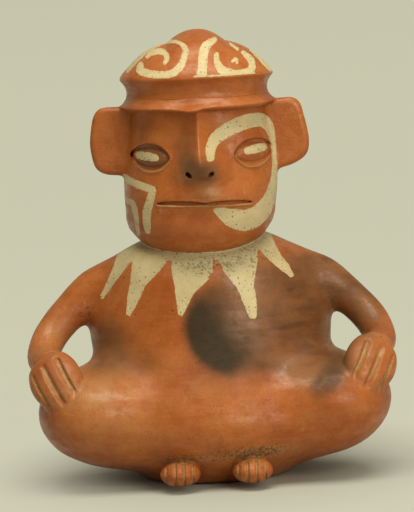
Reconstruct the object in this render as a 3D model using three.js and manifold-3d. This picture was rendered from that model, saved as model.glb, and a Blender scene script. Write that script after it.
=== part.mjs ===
// A stirrup spout bottle of fired clay: a seated figure whose body, head and back handle hold the liquid.
// Millimetres, +Z up, the figure faces -Y, and the origin is the middle of the flat underside.
// Each mesh is a piece that was formed by itself and luted to its neighbours with slip.

import * as THREE from 'three';
import { mergeVertices } from 'three/addons/utils/BufferGeometryUtils.js';
import Module from 'manifold-3d';

const wasm = await Module();
wasm.setup();
const { Manifold, Mesh } = wasm;

// Clay and joints

const wall = 5;
const lutingGap = 0.3;
const overrun = 25;

// Body: a torso, belly and shoulder yoke, a lap with two knees, and the flat seat below them

const base = { radius: 26, thickness: 5 };
const torso = { y: 7, z: 62, halfWidth: 50.5, halfDepth: 41, halfHeight: 40 };
const belly = { y: 4, z: 34, halfWidth: 46, halfDepth: 39, halfHeight: 38 };
const yokeRise = 22.5;
const yoke = { y: 1, z: torso.z + yokeRise, halfWidth: 38.5, halfDepth: 30, halfHeight: 17 };
const lap = { y: -10, z: 24.8, halfWidth: 58, halfDepth: 42, halfHeight: 23.3 };
const kneeInset = 9;
const kneeX = lap.halfWidth - kneeInset;
const knee = { y: -20, z: 30.5, halfWidth: 23.5, halfDepth: 29, halfHeight: 19.2 };
const rightKneeRise = 1;
const seat = { y: 3, z: 7.5, halfWidth: 29, halfDepth: 31, halfHeight: 13 };
const bodyBlend = 9;
const bodySeamY = 4;
const neckBoreRadius = 16;

// Head: rings from the jaw up to the cap seam, as shares of its height and half sizes

const headSink = 11.5;
const headFoot = yoke.z + yoke.halfHeight - headSink;
const head = { y: 2, foot: headFoot, height: 67.8, halfWidth: 31.8, frontDepth: 34, backDepth: 31 };
const headSeamY = 3;
const headSquareness = 2.4;
const headProfileShares = [
  [0, 0.62, 0.52, 0.58],
  [0.05, 0.76, 0.72, 0.72],
  [0.1, 0.87, 0.87, 0.84],
  [0.18, 0.935, 0.955, 0.915],
  [0.315, 0.985, 1.01, 0.98],
  [0.543, 1, 1, 1],
  [0.772, 0.985, 0.96, 1],
  [0.895, 0.985, 0.96, 1],
  [0.925, 1.005, 1.015, 1.01],
  [0.955, 1.01, 1.02, 1.01],
  [0.98, 0.96, 0.975, 0.97],
  [1, 0.92, 0.935, 0.94],
];

// Face: each feature's height on the head is a share of the head's height

const nose = { rootShare: 0.46, heightShare: 0.44, halfWidth: 7.8, reach: 9, sunk: 3 };
const noseShares = [
  [0, 0.5, 0.1],
  [0.12, 0.86, 0.42],
  [0.32, 1, 0.82],
  [0.5, 0.86, 1],
  [0.62, 0.66, 0.88],
  [0.82, 0.46, 0.55],
  [1, 0.4, 0.3],
];
const nostril = { x: 4.6, upShare: 0.572, radius: 1.3, depth: 6 };
const eye = { x: 20.4, upShare: 0.69, halfLength: 8, halfHeight: 4.8, groove: 0.8 };
const eyeSlant = 0.16;
const eyelid = { width: 1.5, height: 0.9 };
const eyeball = { halfLength: 6, halfHeight: 3, reach: 1.4 };
const mouth = { upShare: 0.378, halfLength: 19.8, height: 1.7, depth: 1.6 };

// Cap: a flared neck, a sharp brim and a dome with a ridge from front to back

const cap = { height: 27.2, brimUp: 8, brimHalfWidth: 31.8, brimFront: 34, brimBack: 32, brimEdge: 0.8 };
const ridge = { halfWidth: 12, height: 4.5 };
const flareShares = [[0, 0.92], [0.35, 0.915], [0.7, 0.945], [1, 1]];
const domeShares = [
  [1, 0],
  [0.94, 0.17],
  [0.85, 0.38],
  [0.73, 0.61],
  [0.56, 0.83],
  [0.38, 0.95],
  [0.2, 0.99],
  [0.07, 1],
];

// Ears, arms, hands and feet, given for the right-hand side of the picture

const ear = { reach: 14, thickness: 8, corner: 5, lowShare: 0.555, heightShare: 0.413, forward: 1, sunk: 6 };
const earLean = { top: 3.5, bottom: 3 };
const shoulder = { x: 30, y: 4, rise: 21 };
const elbowOut = 21.3;
const elbowX = kneeX + elbowOut;
const armRadii = { shoulder: 8.4, elbow: 7, wrist: 6.2 };
const armRouteShares = [
  [0, 0, 0],
  [0.37, 0, 0.04],
  [0.7, 0.05, 0.3],
  [0.93, 0.19, 0.58],
  [1, 0.43, 0.78],
  [0.94, 0.7, 0.86],
  [0.85, 0.96, 0.95],
];
const hand = { out: 15, forward: 17.5, standOff: 2.3, halfLength: 16.5, halfWidth: 11.3, halfThickness: 7 };
const handLeanShares = [-0.4, -0.64, -0.66];
const finger = { cutCount: 3, groove: 1.3, depth: 2, spacing: 5.2, startShare: -0.35 };
const foot = { x: 15.4, z: 7.4, standOff: 5.3, halfWidth: 8.2, halfDepth: 9, halfHeight: 5, lift: 0.8 };
const toe = { cutCount: 4, groove: 0.7, depth: 1.3, spacing: 3.2 };

// Stirrup behind the back, and its spout

const stirrup = { sink: 10, lowUp: 8, highShare: 0.53, reach: 34, radius: 9.5, boreRadius: 4.8 };
const spoutAngle = 0.96;
const spout = { length: 55, radius: 8.6, neckRadius: 7.6, lipRadius: 8.8, lipHeight: 3, boreRadius: 5 };

// How finely the curved forms are cut into flat faces

const outerSplitCount = 9;
const innerSplitCount = 4;
const fineHead = { frontCount: 24, backCount: 12, ringCount: 22 };
const plainHead = { frontCount: 12, backCount: 8, ringCount: 8 };
const sideCount = 12;
const armStepCount = 14;
const stirrupStepCount = 22;
const ballAroundCount = 16;
const ballUpCount = 10;

const clay = new THREE.MeshStandardMaterial({ color: 0xb5562c, roughness: 0.42, metalness: 0 });
const paleClay = new THREE.MeshStandardMaterial({ color: 0xbb6538, roughness: 0.5, metalness: 0 });
const smokedClay = new THREE.MeshStandardMaterial({ color: 0x7a3b28, roughness: 0.45, metalness: 0 });

// Closed meshes to solids and back

function solidOf(geometry) {
  const plain = geometry.clone();
  plain.deleteAttribute('normal');
  plain.deleteAttribute('uv');
  const merged = mergeVertices(plain);
  const vertProperties = new Float32Array(merged.attributes.position.array);
  const triVerts = new Uint32Array(merged.index.array);
  return new Manifold(new Mesh({ numProp: 3, vertProperties, triVerts }));
}

function geometryOf(solid) {
  const { vertProperties, triVerts } = solid.getMesh();
  const geometry = new THREE.BufferGeometry();
  geometry.setAttribute('position', new THREE.BufferAttribute(vertProperties, 3));
  geometry.setIndex(new THREE.BufferAttribute(triVerts, 1));
  geometry.computeVertexNormals();
  return geometry;
}

const above = (solid, z) => solid.trimByPlane([0, 0, 1], z);
const inFront = (solid, y) => solid.trimByPlane([0, -1, 0], -y);
const behind = (solid, y) => solid.trimByPlane([0, 1, 0], y);

// A closed skin over rings that all have the same number of points

function loft(rings) {
  const count = rings[0].length;
  const points = rings.flat();
  const triangles = [];
  for (let first = 0; first + count < points.length; first += count) {
    for (let side = 0; side < count; side += 1) {
      const a = first + side;
      const b = first + ((side + 1) % count);
      triangles.push(a, b, b + count, a, b + count, a + count);
    }
  }
  const middleOf = (ring) => ring.reduce((sum, p) => sum.add(p), new THREE.Vector3()).divideScalar(count);
  const start = points.length;
  const end = start + 1;
  const last = start - count;
  points.push(middleOf(rings[0]), middleOf(rings.at(-1)));
  for (let side = 0; side < count; side += 1) {
    const next = (side + 1) % count;
    triangles.push(start, next, side, end, last + side, last + next);
  }
  const geometry = new THREE.BufferGeometry().setFromPoints(points);
  geometry.setIndex(triangles);
  return geometry;
}

// A round bar along a curve, whose radius changes on the way

function bar(curve, radiusAt, sides, steps) {
  const frames = curve.computeFrenetFrames(steps, false);
  const rings = [];
  for (let step = 0; step <= steps; step += 1) {
    const share = step / steps;
    const centre = curve.getPointAt(share);
    const radius = radiusAt(share);
    const ring = [];
    for (let side = 0; side < sides; side += 1) {
      const angle = (2 * Math.PI * side) / sides;
      ring.push(centre.clone()
        .addScaledVector(frames.normals[step], radius * Math.cos(angle))
        .addScaledVector(frames.binormals[step], radius * Math.sin(angle)));
    }
    rings.push(ring);
  }
  return solidOf(loft(rings));
}

// A solid cylinder from one point to another

function rod(from, to, radius, sides) {
  const shape = new THREE.CylinderGeometry(radius, radius, from.distanceTo(to), sides);
  shape.rotateX(Math.PI / 2);
  const middle = from.clone().add(to).multiplyScalar(0.5);
  const turn = new THREE.Matrix4().lookAt(to, from, new THREE.Vector3(1, 0, 0));
  shape.applyMatrix4(turn.setPosition(middle));
  return solidOf(shape);
}

// Body field: negative inside the clay, roughly millimetres from its surface

function swell(point, form, side = 0, rise = 0) {
  const x = point.x - side;
  const y = point.y - form.y;
  const z = point.z - form.z - rise;
  const near = Math.hypot(x / form.halfWidth, y / form.halfDepth, z / form.halfHeight);
  const steep = Math.hypot(x / form.halfWidth ** 2, y / form.halfDepth ** 2, z / form.halfHeight ** 2);
  return steep === 0 ? -form.halfHeight : (near * (near - 1)) / steep;
}

function blended(a, b, reach) {
  const mix = Math.max(reach - Math.abs(a - b), 0) / reach;
  return Math.min(a, b) - (mix * mix * reach) / 4;
}

function bodyField(point) {
  const forms = [torso, belly, yoke, lap, seat].map((form) => swell(point, form));
  forms.push(swell(point, knee, kneeX, rightKneeRise), swell(point, knee, -kneeX));
  return forms.reduce((joined, form) => blended(joined, form, bodyBlend));
}

const heart = new THREE.Vector3(0, lap.y / 2, (torso.z + lap.z) / 2);

// Where a way in from outside comes to a set distance from the body's surface
function meetBody(from, to, distance) {
  let outside = 0;
  let inside = 1;
  for (let halving = 0; halving < 34; halving += 1) {
    const middle = (inside + outside) / 2;
    if (bodyField(from.clone().lerp(to, middle)) < distance) inside = middle;
    else outside = middle;
  }
  return from.clone().lerp(to, inside);
}

function bodySkin(level, detail) {
  const far = 2 * (torso.halfHeight + kneeX + knee.halfWidth);
  const shape = new THREE.IcosahedronGeometry(far, detail);
  const places = shape.attributes.position;
  for (let index = 0; index < places.count; index += 1) {
    const start = new THREE.Vector3().fromBufferAttribute(places, index).add(heart);
    const met = meetBody(start, heart, level);
    places.setXYZ(index, met.x, met.y, met.z);
  }
  return solidOf(shape);
}

function makeBody() {
  const outside = above(bodySkin(0, outerSplitCount), 0);
  const inside = above(bodySkin(-wall, innerSplitCount), base.thickness);
  const below = new THREE.Vector3(0, 0, -overrun);
  const floorTop = new THREE.Vector3(0, 0, base.thickness + wall);
  const baseHole = rod(below, floorTop, base.radius + lutingGap, 2 * sideCount);
  const shell = outside.subtract(inside).subtract(neckBore()).subtract(baseHole).subtract(stirrupBore());
  return {
    front: inFront(shell, bodySeamY - lutingGap / 2),
    back: behind(shell, bodySeamY + lutingGap / 2),
  };
}

function makeBase() {
  const shape = new THREE.CylinderGeometry(base.radius, base.radius, base.thickness, 2 * sideCount);
  shape.rotateX(Math.PI / 2);
  shape.translate(0, 0, base.thickness / 2);
  return solidOf(shape);
}

// Head rings

const headTop = head.foot + head.height;

function neckBore() {
  const down = new THREE.Vector3(0, head.y, head.foot - overrun);
  const up = new THREE.Vector3(0, head.y, head.foot + overrun);
  return rod(down, up, neckBoreRadius, sideCount);
}

// A smooth curve through rows of [place, value, value...]
function smoothRow(rows, place) {
  let row = 0;
  while (row < rows.length - 2 && place > rows[row + 1][0]) row += 1;
  const [from, to] = [rows[row], rows[row + 1]];
  const before = rows[Math.max(row - 1, 0)];
  const after = rows[Math.min(row + 2, rows.length - 1)];
  const span = to[0] - from[0];
  const share = Math.min(Math.max((place - from[0]) / span, 0), 1);
  return from.slice(1).map((value, index) => {
    const column = index + 1;
    const leave = (span * (to[column] - before[column])) / (to[0] - before[0]);
    const arrive = (span * (after[column] - value)) / (after[0] - from[0]);
    const rise = to[column] - value;
    const square = 3 * rise - 2 * leave - arrive;
    const cube = leave + arrive - 2 * rise;
    return value + share * (leave + share * (square + share * cube));
  });
}

function headSizes(share) {
  const [halfWidth, front, back] = smoothRow(headProfileShares, share);
  return [head.halfWidth * halfWidth, head.frontDepth * front, head.backDepth * back];
}

function ovalRing(detail, z, halfWidth, front, back) {
  const ring = [];
  for (let step = 0; step < detail.frontCount; step += 1) {
    const across = Math.sin(Math.PI * (step / detail.frontCount - 0.5));
    const depth = (1 - Math.abs(across) ** headSquareness) ** (1 / headSquareness);
    ring.push(new THREE.Vector3(halfWidth * across, head.y - front * depth, z));
  }
  for (let step = 0; step < detail.backCount; step += 1) {
    const angle = (Math.PI * step) / detail.backCount;
    ring.push(new THREE.Vector3(halfWidth * Math.cos(angle), head.y + back * Math.sin(angle), z));
  }
  return ring;
}

function headForm(inset, detail = plainHead) {
  const rings = [];
  for (let ring = 0; ring <= detail.ringCount; ring += 1) {
    const share = ring / detail.ringCount;
    const sizes = headSizes(share).map((size) => size - inset);
    rings.push(ovalRing(detail, head.foot + head.height * share, ...sizes));
  }
  return solidOf(loft(rings));
}

// Face: each feature follows the plain front of the head

function facePoint(x, height) {
  const [halfWidth, front] = headSizes(height / head.height);
  const depth = (1 - Math.abs(x / halfWidth) ** headSquareness) ** (1 / headSquareness);
  return new THREE.Vector3(x, head.y - front * depth, head.foot + height);
}

function makeNose() {
  const rings = noseShares.map(([up, width, reach]) => {
    const height = head.height * (nose.rootShare + nose.heightShare * up);
    const middle = facePoint(0, height);
    const ring = [];
    for (let side = 0; side < sideCount; side += 1) {
      const angle = (2 * Math.PI * side) / sideCount;
      const x = nose.halfWidth * width * Math.cos(angle);
      const y = middle.y + nose.sunk + (nose.sunk + nose.reach * reach) * Math.sin(angle);
      ring.push(new THREE.Vector3(x, y, middle.z));
    }
    return ring;
  });
  return solidOf(loft(rings));
}

// An eye opening whose outer corner is the higher one
function almond(halfLength, halfHeight, slant) {
  const outline = new THREE.Shape();
  const tip = new THREE.Vector2(halfLength, 0).rotateAround(new THREE.Vector2(), slant);
  const crown = new THREE.Vector2(0, 2 * halfHeight).rotateAround(new THREE.Vector2(), slant);
  outline.moveTo(-tip.x, -tip.y);
  outline.quadraticCurveTo(-crown.x, -crown.y, tip.x, tip.y);
  outline.quadraticCurveTo(crown.x, crown.y, -tip.x, -tip.y);
  return outline;
}

// What an outline on the face covers between two depths below the plain front, or above it when negative
function faceLayer(outline, side, upShare, outer, inner) {
  const depth = head.frontDepth + overrun;
  const slab = new THREE.ExtrudeGeometry(outline, { depth, bevelEnabled: false, curveSegments: 4 });
  slab.rotateX(Math.PI / 2);
  slab.translate(side, head.y, head.foot + head.height * upShare);
  return solidOf(slab).intersect(headForm(outer, fineHead)).subtract(headForm(inner, fineHead));
}

function makeEye(side) {
  const place = side * eye.x;
  const slant = side * eyeSlant;
  const middle = facePoint(place, head.height * eye.upShare);
  const beside = facePoint(place + eyelid.width, head.height * eye.upShare);
  const ball = new THREE.SphereGeometry(1, ballAroundCount, ballUpCount);
  ball.scale(eyeball.halfLength, 2 * eyeball.reach, eyeball.halfHeight);
  ball.rotateY(-slant);
  ball.rotateZ(Math.atan2(beside.y - middle.y, beside.x - middle.x));
  ball.translate(middle.x, middle.y + eyeball.reach, middle.z);
  const opening = almond(eye.halfLength, eye.halfHeight, slant);
  const lids = almond(eye.halfLength + eyelid.width, eye.halfHeight + eyelid.width, slant);
  lids.holes.push(opening);
  return {
    proud: solidOf(ball).add(faceLayer(lids, place, eye.upShare, -eyelid.height, wall / 2)),
    sunk: faceLayer(opening, place, eye.upShare, -2 * eyelid.height, eye.groove),
  };
}

function makeNostrils() {
  const holes = [-1, 1].map((side) => {
    const tip = facePoint(0, head.height * nostril.upShare);
    const start = new THREE.Vector3(side * nostril.x, tip.y - nose.reach, tip.z - nose.reach);
    const end = new THREE.Vector3(side * nostril.x, tip.y, tip.z + nostril.depth / 2);
    return rod(start, end, nostril.radius, sideCount / 2);
  });
  return holes[0].add(holes[1]);
}

function makeMouthCut() {
  const outline = new THREE.Shape();
  outline.moveTo(-mouth.halfLength, 0);
  outline.quadraticCurveTo(0, -mouth.height / 2, mouth.halfLength, 0);
  outline.quadraticCurveTo(mouth.halfLength / 2, mouth.height, 0, mouth.height / 3);
  outline.quadraticCurveTo(-mouth.halfLength / 2, mouth.height, -mouth.halfLength, 0);
  return faceLayer(outline, 0, mouth.upShare, -mouth.depth, mouth.depth);
}

function makeHead(bodySpace) {
  const cavity = above(headForm(wall), head.foot + wall);
  const hollow = cavity.add(neckBore()).add(stirrupBore()).add(bodySpace);
  const shell = headForm(0, fineHead).subtract(hollow);
  let front = inFront(shell, headSeamY - lutingGap / 2);
  [-1, 1].map(makeEye).forEach((made) => {
    front = front.subtract(made.sunk).add(made.proud);
  });
  return {
    front: front.add(makeNose()).subtract(makeMouthCut()).subtract(makeNostrils()),
    back: behind(shell, headSeamY + lutingGap / 2),
  };
}

// Cap

function capForm(inset, detail) {
  const foot = headTop + (inset === 0 ? lutingGap : 0);
  const brim = headTop + lutingGap + cap.brimUp;
  const rise = cap.height - cap.brimUp - cap.brimEdge - ridge.height;
  const rings = flareShares.map(([up, share]) => ovalRing(
    detail,
    foot + (brim - foot) * up,
    cap.brimHalfWidth * share - inset,
    cap.brimFront * share - inset,
    cap.brimBack * share - inset,
  ));
  const edges = [cap.brimHalfWidth, cap.brimFront, cap.brimBack].map((size) => size - inset);
  domeShares.forEach(([share, up]) => {
    const ring = ovalRing(detail, brim + cap.brimEdge, ...edges.map((size) => size * share));
    ring.forEach((point) => {
      const crest = ridge.height * Math.max(1 - (point.x / ridge.halfWidth) ** 2, 0);
      point.z += up * (rise + crest) - inset * Math.min(4 * up, 1);
    });
    rings.push(ring);
  });
  return solidOf(loft(rings));
}

function makeCap() {
  return capForm(0, fineHead).subtract(capForm(wall, plainHead));
}

// Ears

function makeEar(side) {
  const inner = head.halfWidth - ear.sunk;
  const outer = head.halfWidth + ear.reach;
  const low = head.foot + head.height * ear.lowShare;
  const high = low + head.height * ear.heightShare;
  const outline = new THREE.Shape();
  const top = outer - earLean.top;
  outline.moveTo(inner, low - earLean.bottom);
  outline.lineTo(outer - ear.corner, low);
  outline.quadraticCurveTo(outer, low, outer, low + ear.corner);
  outline.lineTo(top, high - ear.corner);
  outline.quadraticCurveTo(top, high, top - ear.corner, high);
  outline.lineTo(inner, high);
  const bevel = ear.thickness / 4;
  const slab = new THREE.ExtrudeGeometry(outline, {
    depth: ear.thickness - 2 * bevel,
    bevelThickness: bevel,
    bevelSize: bevel,
    bevelOffset: -bevel,
    bevelSegments: 2,
    curveSegments: 4,
  });
  slab.rotateX(Math.PI / 2);
  slab.translate(0, ear.thickness / 2 - bevel, 0);
  if (side < 0) slab.rotateZ(Math.PI);
  slab.translate(0, head.y - ear.forward, 0);
  return solidOf(slab).subtract(headForm(-lutingGap, fineHead));
}

// Arms, hands and feet

// The hand lies on the knee, at its own distance from the body's surface
function handCentre(side) {
  const x = side * (kneeX + hand.out);
  const start = new THREE.Vector3(x, knee.y - hand.forward, torso.z + torso.halfHeight);
  return meetBody(start, start.clone().setZ(knee.z), hand.standOff);
}

function handFrame(side) {
  const centre = handCentre(side);
  const along = new THREE.Vector3(...handLeanShares).normalize();
  along.x *= side;
  const slope = new THREE.Vector3();
  ['x', 'y', 'z'].forEach((axis) => {
    const ahead = centre.clone();
    const back = centre.clone();
    ahead[axis] += lutingGap;
    back[axis] -= lutingGap;
    slope[axis] = bodyField(ahead) - bodyField(back);
  });
  const across = new THREE.Vector3().crossVectors(slope, along).normalize();
  const out = new THREE.Vector3().crossVectors(along, across);
  return new THREE.Matrix4().makeBasis(along, across, out).setPosition(centre);
}

function handForm(side, grown) {
  const shape = new THREE.SphereGeometry(1, ballAroundCount, ballUpCount);
  shape.scale(hand.halfLength + grown, hand.halfWidth + grown, hand.halfThickness + grown);
  return solidOf(shape.applyMatrix4(handFrame(side)));
}

// A wedge along x whose edge points down, to cut into the top of a form
function groove(fromX, toX, width, depth) {
  const outline = new THREE.Shape();
  outline.moveTo(-width, 2 * depth);
  outline.lineTo(0, 0);
  outline.lineTo(width, 2 * depth);
  const wedge = new THREE.ExtrudeGeometry(outline, { depth: toX - fromX, bevelEnabled: false });
  wedge.rotateX(Math.PI / 2);
  wedge.rotateZ(Math.PI / 2);
  wedge.translate(fromX, 0, 0);
  return wedge;
}

// How much of a ball's half size is left at a distance across it
const ballShare = (across, halfWidth) => Math.sqrt(1 - (across / halfWidth) ** 2);

// Wedges side by side over the rounded top of a ball, from one place along it to another
function grooves(cutter, fromX, toX, halfWidth, halfHeight) {
  const wedges = [];
  for (let cut = 0; cut < cutter.cutCount; cut += 1) {
    const across = (cut - (cutter.cutCount - 1) / 2) * cutter.spacing;
    const wedge = groove(fromX, toX, cutter.groove, cutter.depth);
    wedge.translate(0, across, halfHeight * ballShare(across, halfWidth) - cutter.depth);
    wedges.push(wedge);
  }
  return wedges;
}

function cutBy(form, wedges, frame) {
  return wedges.reduce((left, wedge) => left.subtract(solidOf(wedge.applyMatrix4(frame))), form);
}

function makeHand(side, bodySpace) {
  const start = hand.halfLength * finger.startShare;
  const wedges = grooves(finger, start, hand.halfLength + overrun, hand.halfWidth, hand.halfThickness);
  return cutBy(handForm(side, 0), wedges, handFrame(side)).subtract(bodySpace);
}

function makeArm(side, bodySpace) {
  const end = handCentre(side);
  const start = new THREE.Vector3(side * shoulder.x, shoulder.y, torso.z + shoulder.rise);
  const route = armRouteShares.map(([out, forward, down]) => new THREE.Vector3(
    start.x + (side * elbowX - start.x) * out,
    start.y + (end.y - start.y) * forward,
    start.z + (end.z - start.z) * down,
  ));
  const radiusAt = (share) => (share < 0.5
    ? THREE.MathUtils.lerp(armRadii.shoulder, armRadii.elbow, 2 * share)
    : THREE.MathUtils.lerp(armRadii.elbow, armRadii.wrist, 2 * share - 1));
  const coil = bar(new THREE.CatmullRomCurve3(route), radiusAt, sideCount, armStepCount);
  return coil.subtract(handForm(side, lutingGap)).subtract(bodySpace);
}

function makeFoot(side, bodySpace) {
  const ahead = new THREE.Vector3(side * foot.x, lap.y - 2 * lap.halfDepth, foot.z);
  const centre = meetBody(ahead, ahead.clone().setY(lap.y), foot.standOff);
  const shape = new THREE.SphereGeometry(1, ballAroundCount, ballUpCount);
  shape.scale(foot.halfWidth, foot.halfDepth, foot.halfHeight);
  shape.translate(centre.x, centre.y, centre.z);
  const up = new THREE.Vector3(0, 0, 1);
  const forward = new THREE.Vector3(0, -1, 0);
  const front = new THREE.Matrix4().makeBasis(up, new THREE.Vector3().crossVectors(forward, up), forward);
  front.setPosition(centre);
  const wedges = grooves(toe, -2 * foot.halfHeight, 2 * foot.halfHeight, foot.halfWidth, foot.halfDepth);
  const whole = above(solidOf(shape), foot.lift);
  return cutBy(whole, wedges, front).subtract(bodySpace);
}

// Stirrup: straight out of the back, round the half oval, and straight into the back of the head

const stirrupY = torso.y + torso.halfDepth - stirrup.sink;
const stirrupLow = torso.z + stirrup.lowUp;
const stirrupHigh = head.foot + head.height * stirrup.highShare;

class StirrupCurve extends THREE.Curve {
  constructor(from, to) {
    super();
    this.from = from;
    this.to = to;
  }

  getPoint(share, target = new THREE.Vector3()) {
    const angle = this.from + (this.to - this.from) * share;
    const middle = (stirrupHigh + stirrupLow) / 2;
    const halfSpan = (stirrupHigh - stirrupLow) / 2;
    const turn = Math.min(Math.max(angle, -Math.PI / 2), Math.PI / 2);
    const out = stirrup.reach * (Math.cos(turn) - Math.abs(angle - turn));
    return target.set(0, stirrupY + out, middle + halfSpan * Math.sin(turn));
  }
}

function stirrupBar(radius, runIn) {
  const end = Math.PI / 2 + runIn / stirrup.reach;
  return bar(new StirrupCurve(-end, end), () => radius, sideCount, stirrupStepCount);
}

const stirrupOutside = (grown) => stirrupBar(stirrup.radius + grown, torso.halfDepth / 2);
const stirrupBore = () => stirrupBar(stirrup.boreRadius, torso.halfDepth * 0.75);
const stirrupTop = () => new StirrupCurve(spoutAngle, Math.PI);

function spoutBore() {
  const start = stirrupTop().getPoint(0);
  const top = start.clone().setZ(start.z + spout.length + overrun);
  return rod(start, top, spout.boreRadius, sideCount);
}

// The stirrup is cut square to its own run under the spout, where its two branches meet
function makeStirrup(spaces) {
  const tube = stirrupOutside(0).subtract(stirrupBore());
  const open = spaces.reduce((left, space) => left.subtract(space), tube);
  const run = stirrupTop().getTangent(0);
  const place = run.dot(stirrupTop().getPoint(0));
  return {
    lower: open.trimByPlane(run.clone().negate().toArray(), lutingGap / 2 - place),
    upper: open.trimByPlane(run.toArray(), lutingGap / 2 + place),
  };
}

function makeSpout() {
  const start = stirrupTop().getPoint(0);
  const top = start.z + spout.length;
  const profile = [
    [0, start.z],
    [spout.radius, start.z],
    [spout.radius, start.z + stirrup.radius],
    [spout.neckRadius, start.z + 2 * stirrup.radius],
    [spout.neckRadius, top - 2 * spout.lipHeight],
    [spout.lipRadius, top - spout.lipHeight],
    [spout.lipRadius, top - spout.lipHeight / 3],
    [(spout.lipRadius + spout.boreRadius) / 2, top],
    [0, top],
  ].map(([radius, z]) => new THREE.Vector2(radius, z));
  const turned = new THREE.LatheGeometry(profile, 2 * sideCount);
  turned.rotateX(Math.PI / 2);
  turned.translate(0, start.y, 0);
  return solidOf(turned).subtract(stirrupOutside(lutingGap)).subtract(spoutBore());
}

// Assembly

const bottle = new THREE.Group();
bottle.name = 'stirrup_spout_bottle';

function addPiece(name, solid, material) {
  const piece = new THREE.Mesh(geometryOf(solid), material);
  piece.name = name;
  bottle.add(piece);
}

const bodySpace = bodySkin(lutingGap, outerSplitCount);
const headSpace = headForm(-lutingGap, fineHead);
const body = makeBody();
addPiece('body_front_shell', body.front, clay);
addPiece('body_back_shell', body.back, clay);
addPiece('base_disc', makeBase(), paleClay);

const headShells = makeHead(bodySpace);
addPiece('face_shell', headShells.front, clay);
addPiece('head_back_shell', headShells.back, clay);
addPiece('cap', makeCap(), clay);

[['left', -1], ['right', 1]].forEach(([name, side]) => {
  addPiece(`ear_${name}`, makeEar(side), clay);
  addPiece(`arm_${name}`, makeArm(side, bodySpace), side > 0 ? smokedClay : clay);
  addPiece(`hand_${name}`, makeHand(side, bodySpace), paleClay);
  addPiece(`foot_${name}`, makeFoot(side, bodySpace), paleClay);
});

const stirrupBranches = makeStirrup([bodySpace, headSpace, spoutBore()]);
addPiece('stirrup_lower_branch', stirrupBranches.lower, clay);
addPiece('stirrup_upper_branch', stirrupBranches.upper, clay);
addPiece('spout', makeSpout(), clay);

export default bottle;
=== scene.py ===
"""A stirrup spout bottle of fired clay: a seated figure with cream paint, a cap and a handle behind."""

import math
from collections import namedtuple
from functools import lru_cache

import bmesh
import bpy
import numpy as np
import openvdb
from bpy.props import FloatProperty, FloatVectorProperty, PointerProperty
from bpy.types import Operator, Panel, PropertyGroup
from mathutils import Matrix, Vector


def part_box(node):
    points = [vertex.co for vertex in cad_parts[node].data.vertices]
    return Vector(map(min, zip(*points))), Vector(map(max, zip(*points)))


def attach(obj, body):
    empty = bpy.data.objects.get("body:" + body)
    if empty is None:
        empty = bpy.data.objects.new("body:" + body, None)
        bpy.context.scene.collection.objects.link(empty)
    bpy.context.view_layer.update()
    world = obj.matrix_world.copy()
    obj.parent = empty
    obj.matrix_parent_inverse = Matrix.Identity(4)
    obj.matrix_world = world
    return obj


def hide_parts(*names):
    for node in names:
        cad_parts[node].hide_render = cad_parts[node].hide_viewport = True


bl_info = {
    "name": "Stirrup Spout Bottle",
    "version": (1, 0, 0),
    "blender": (4, 5, 0),
    "location": "3D View > Sidebar > Bottle",
    "description": "Shapes and paints a seated figure bottle over its solid model",
    "category": "Add Mesh",
}

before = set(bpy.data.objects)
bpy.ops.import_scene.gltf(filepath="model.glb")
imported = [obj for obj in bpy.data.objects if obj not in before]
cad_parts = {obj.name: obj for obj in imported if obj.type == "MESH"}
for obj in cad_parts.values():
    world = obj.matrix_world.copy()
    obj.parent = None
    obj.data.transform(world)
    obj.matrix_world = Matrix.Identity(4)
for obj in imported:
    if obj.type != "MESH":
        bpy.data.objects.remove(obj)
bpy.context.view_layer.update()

# All shapes below are worked out in millimetres, with +Z up and the figure facing -Y.

MM = 0.001
BODY = "root"
SLIP_SLOT = "burnished_slip"
SMOKED_SLOT = "smoked_slip"

Swell = namedtuple("Swell", "y z half_width half_depth half_height x", defaults=(0.0,))

# Hollow body

TORSO = Swell(y=7.0, z=62.0, half_width=50.5, half_depth=41.0, half_height=40.0)
BELLY = Swell(y=0.0, z=33.0, half_width=46.0, half_depth=46.0, half_height=40.0)
YOKE = Swell(y=1.0, z=84.5, half_width=38.5, half_depth=30.0, half_height=17.0)
LAP = Swell(y=-10.0, z=24.8, half_width=58.0, half_depth=41.0, half_height=23.3)
SEAT = Swell(y=3.0, z=7.5, half_width=29.0, half_depth=31.0, half_height=13.0)
KNEE = Swell(x=49.0, y=-20.0, z=30.5, half_width=23.5, half_depth=29.0, half_height=19.2)
RIGHT_KNEE_RISE = 1.0
BODY_BLEND = 9.0
THIGH_BLEND = 14.0
BODY_SEAM_Y = 4.0
BASE_RADIUS = 26.0
BASE_THICKNESS = 5.0
BASE_PLAY = 0.3
NECK_BORE_RADIUS = 16.0
NECK_BORE_REACH = 25.0
THIGH_CRESTS = (((-29.0, -38.0, 37.0), (13.0, 12.0, 7.0)), ((34.0, -36.0, 39.0), (14.0, 12.0, 6.0)))
THIGH_CREST_HEIGHT = 1.3

# Head: rows of share of the height, then half width, front depth and back depth as shares

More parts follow.
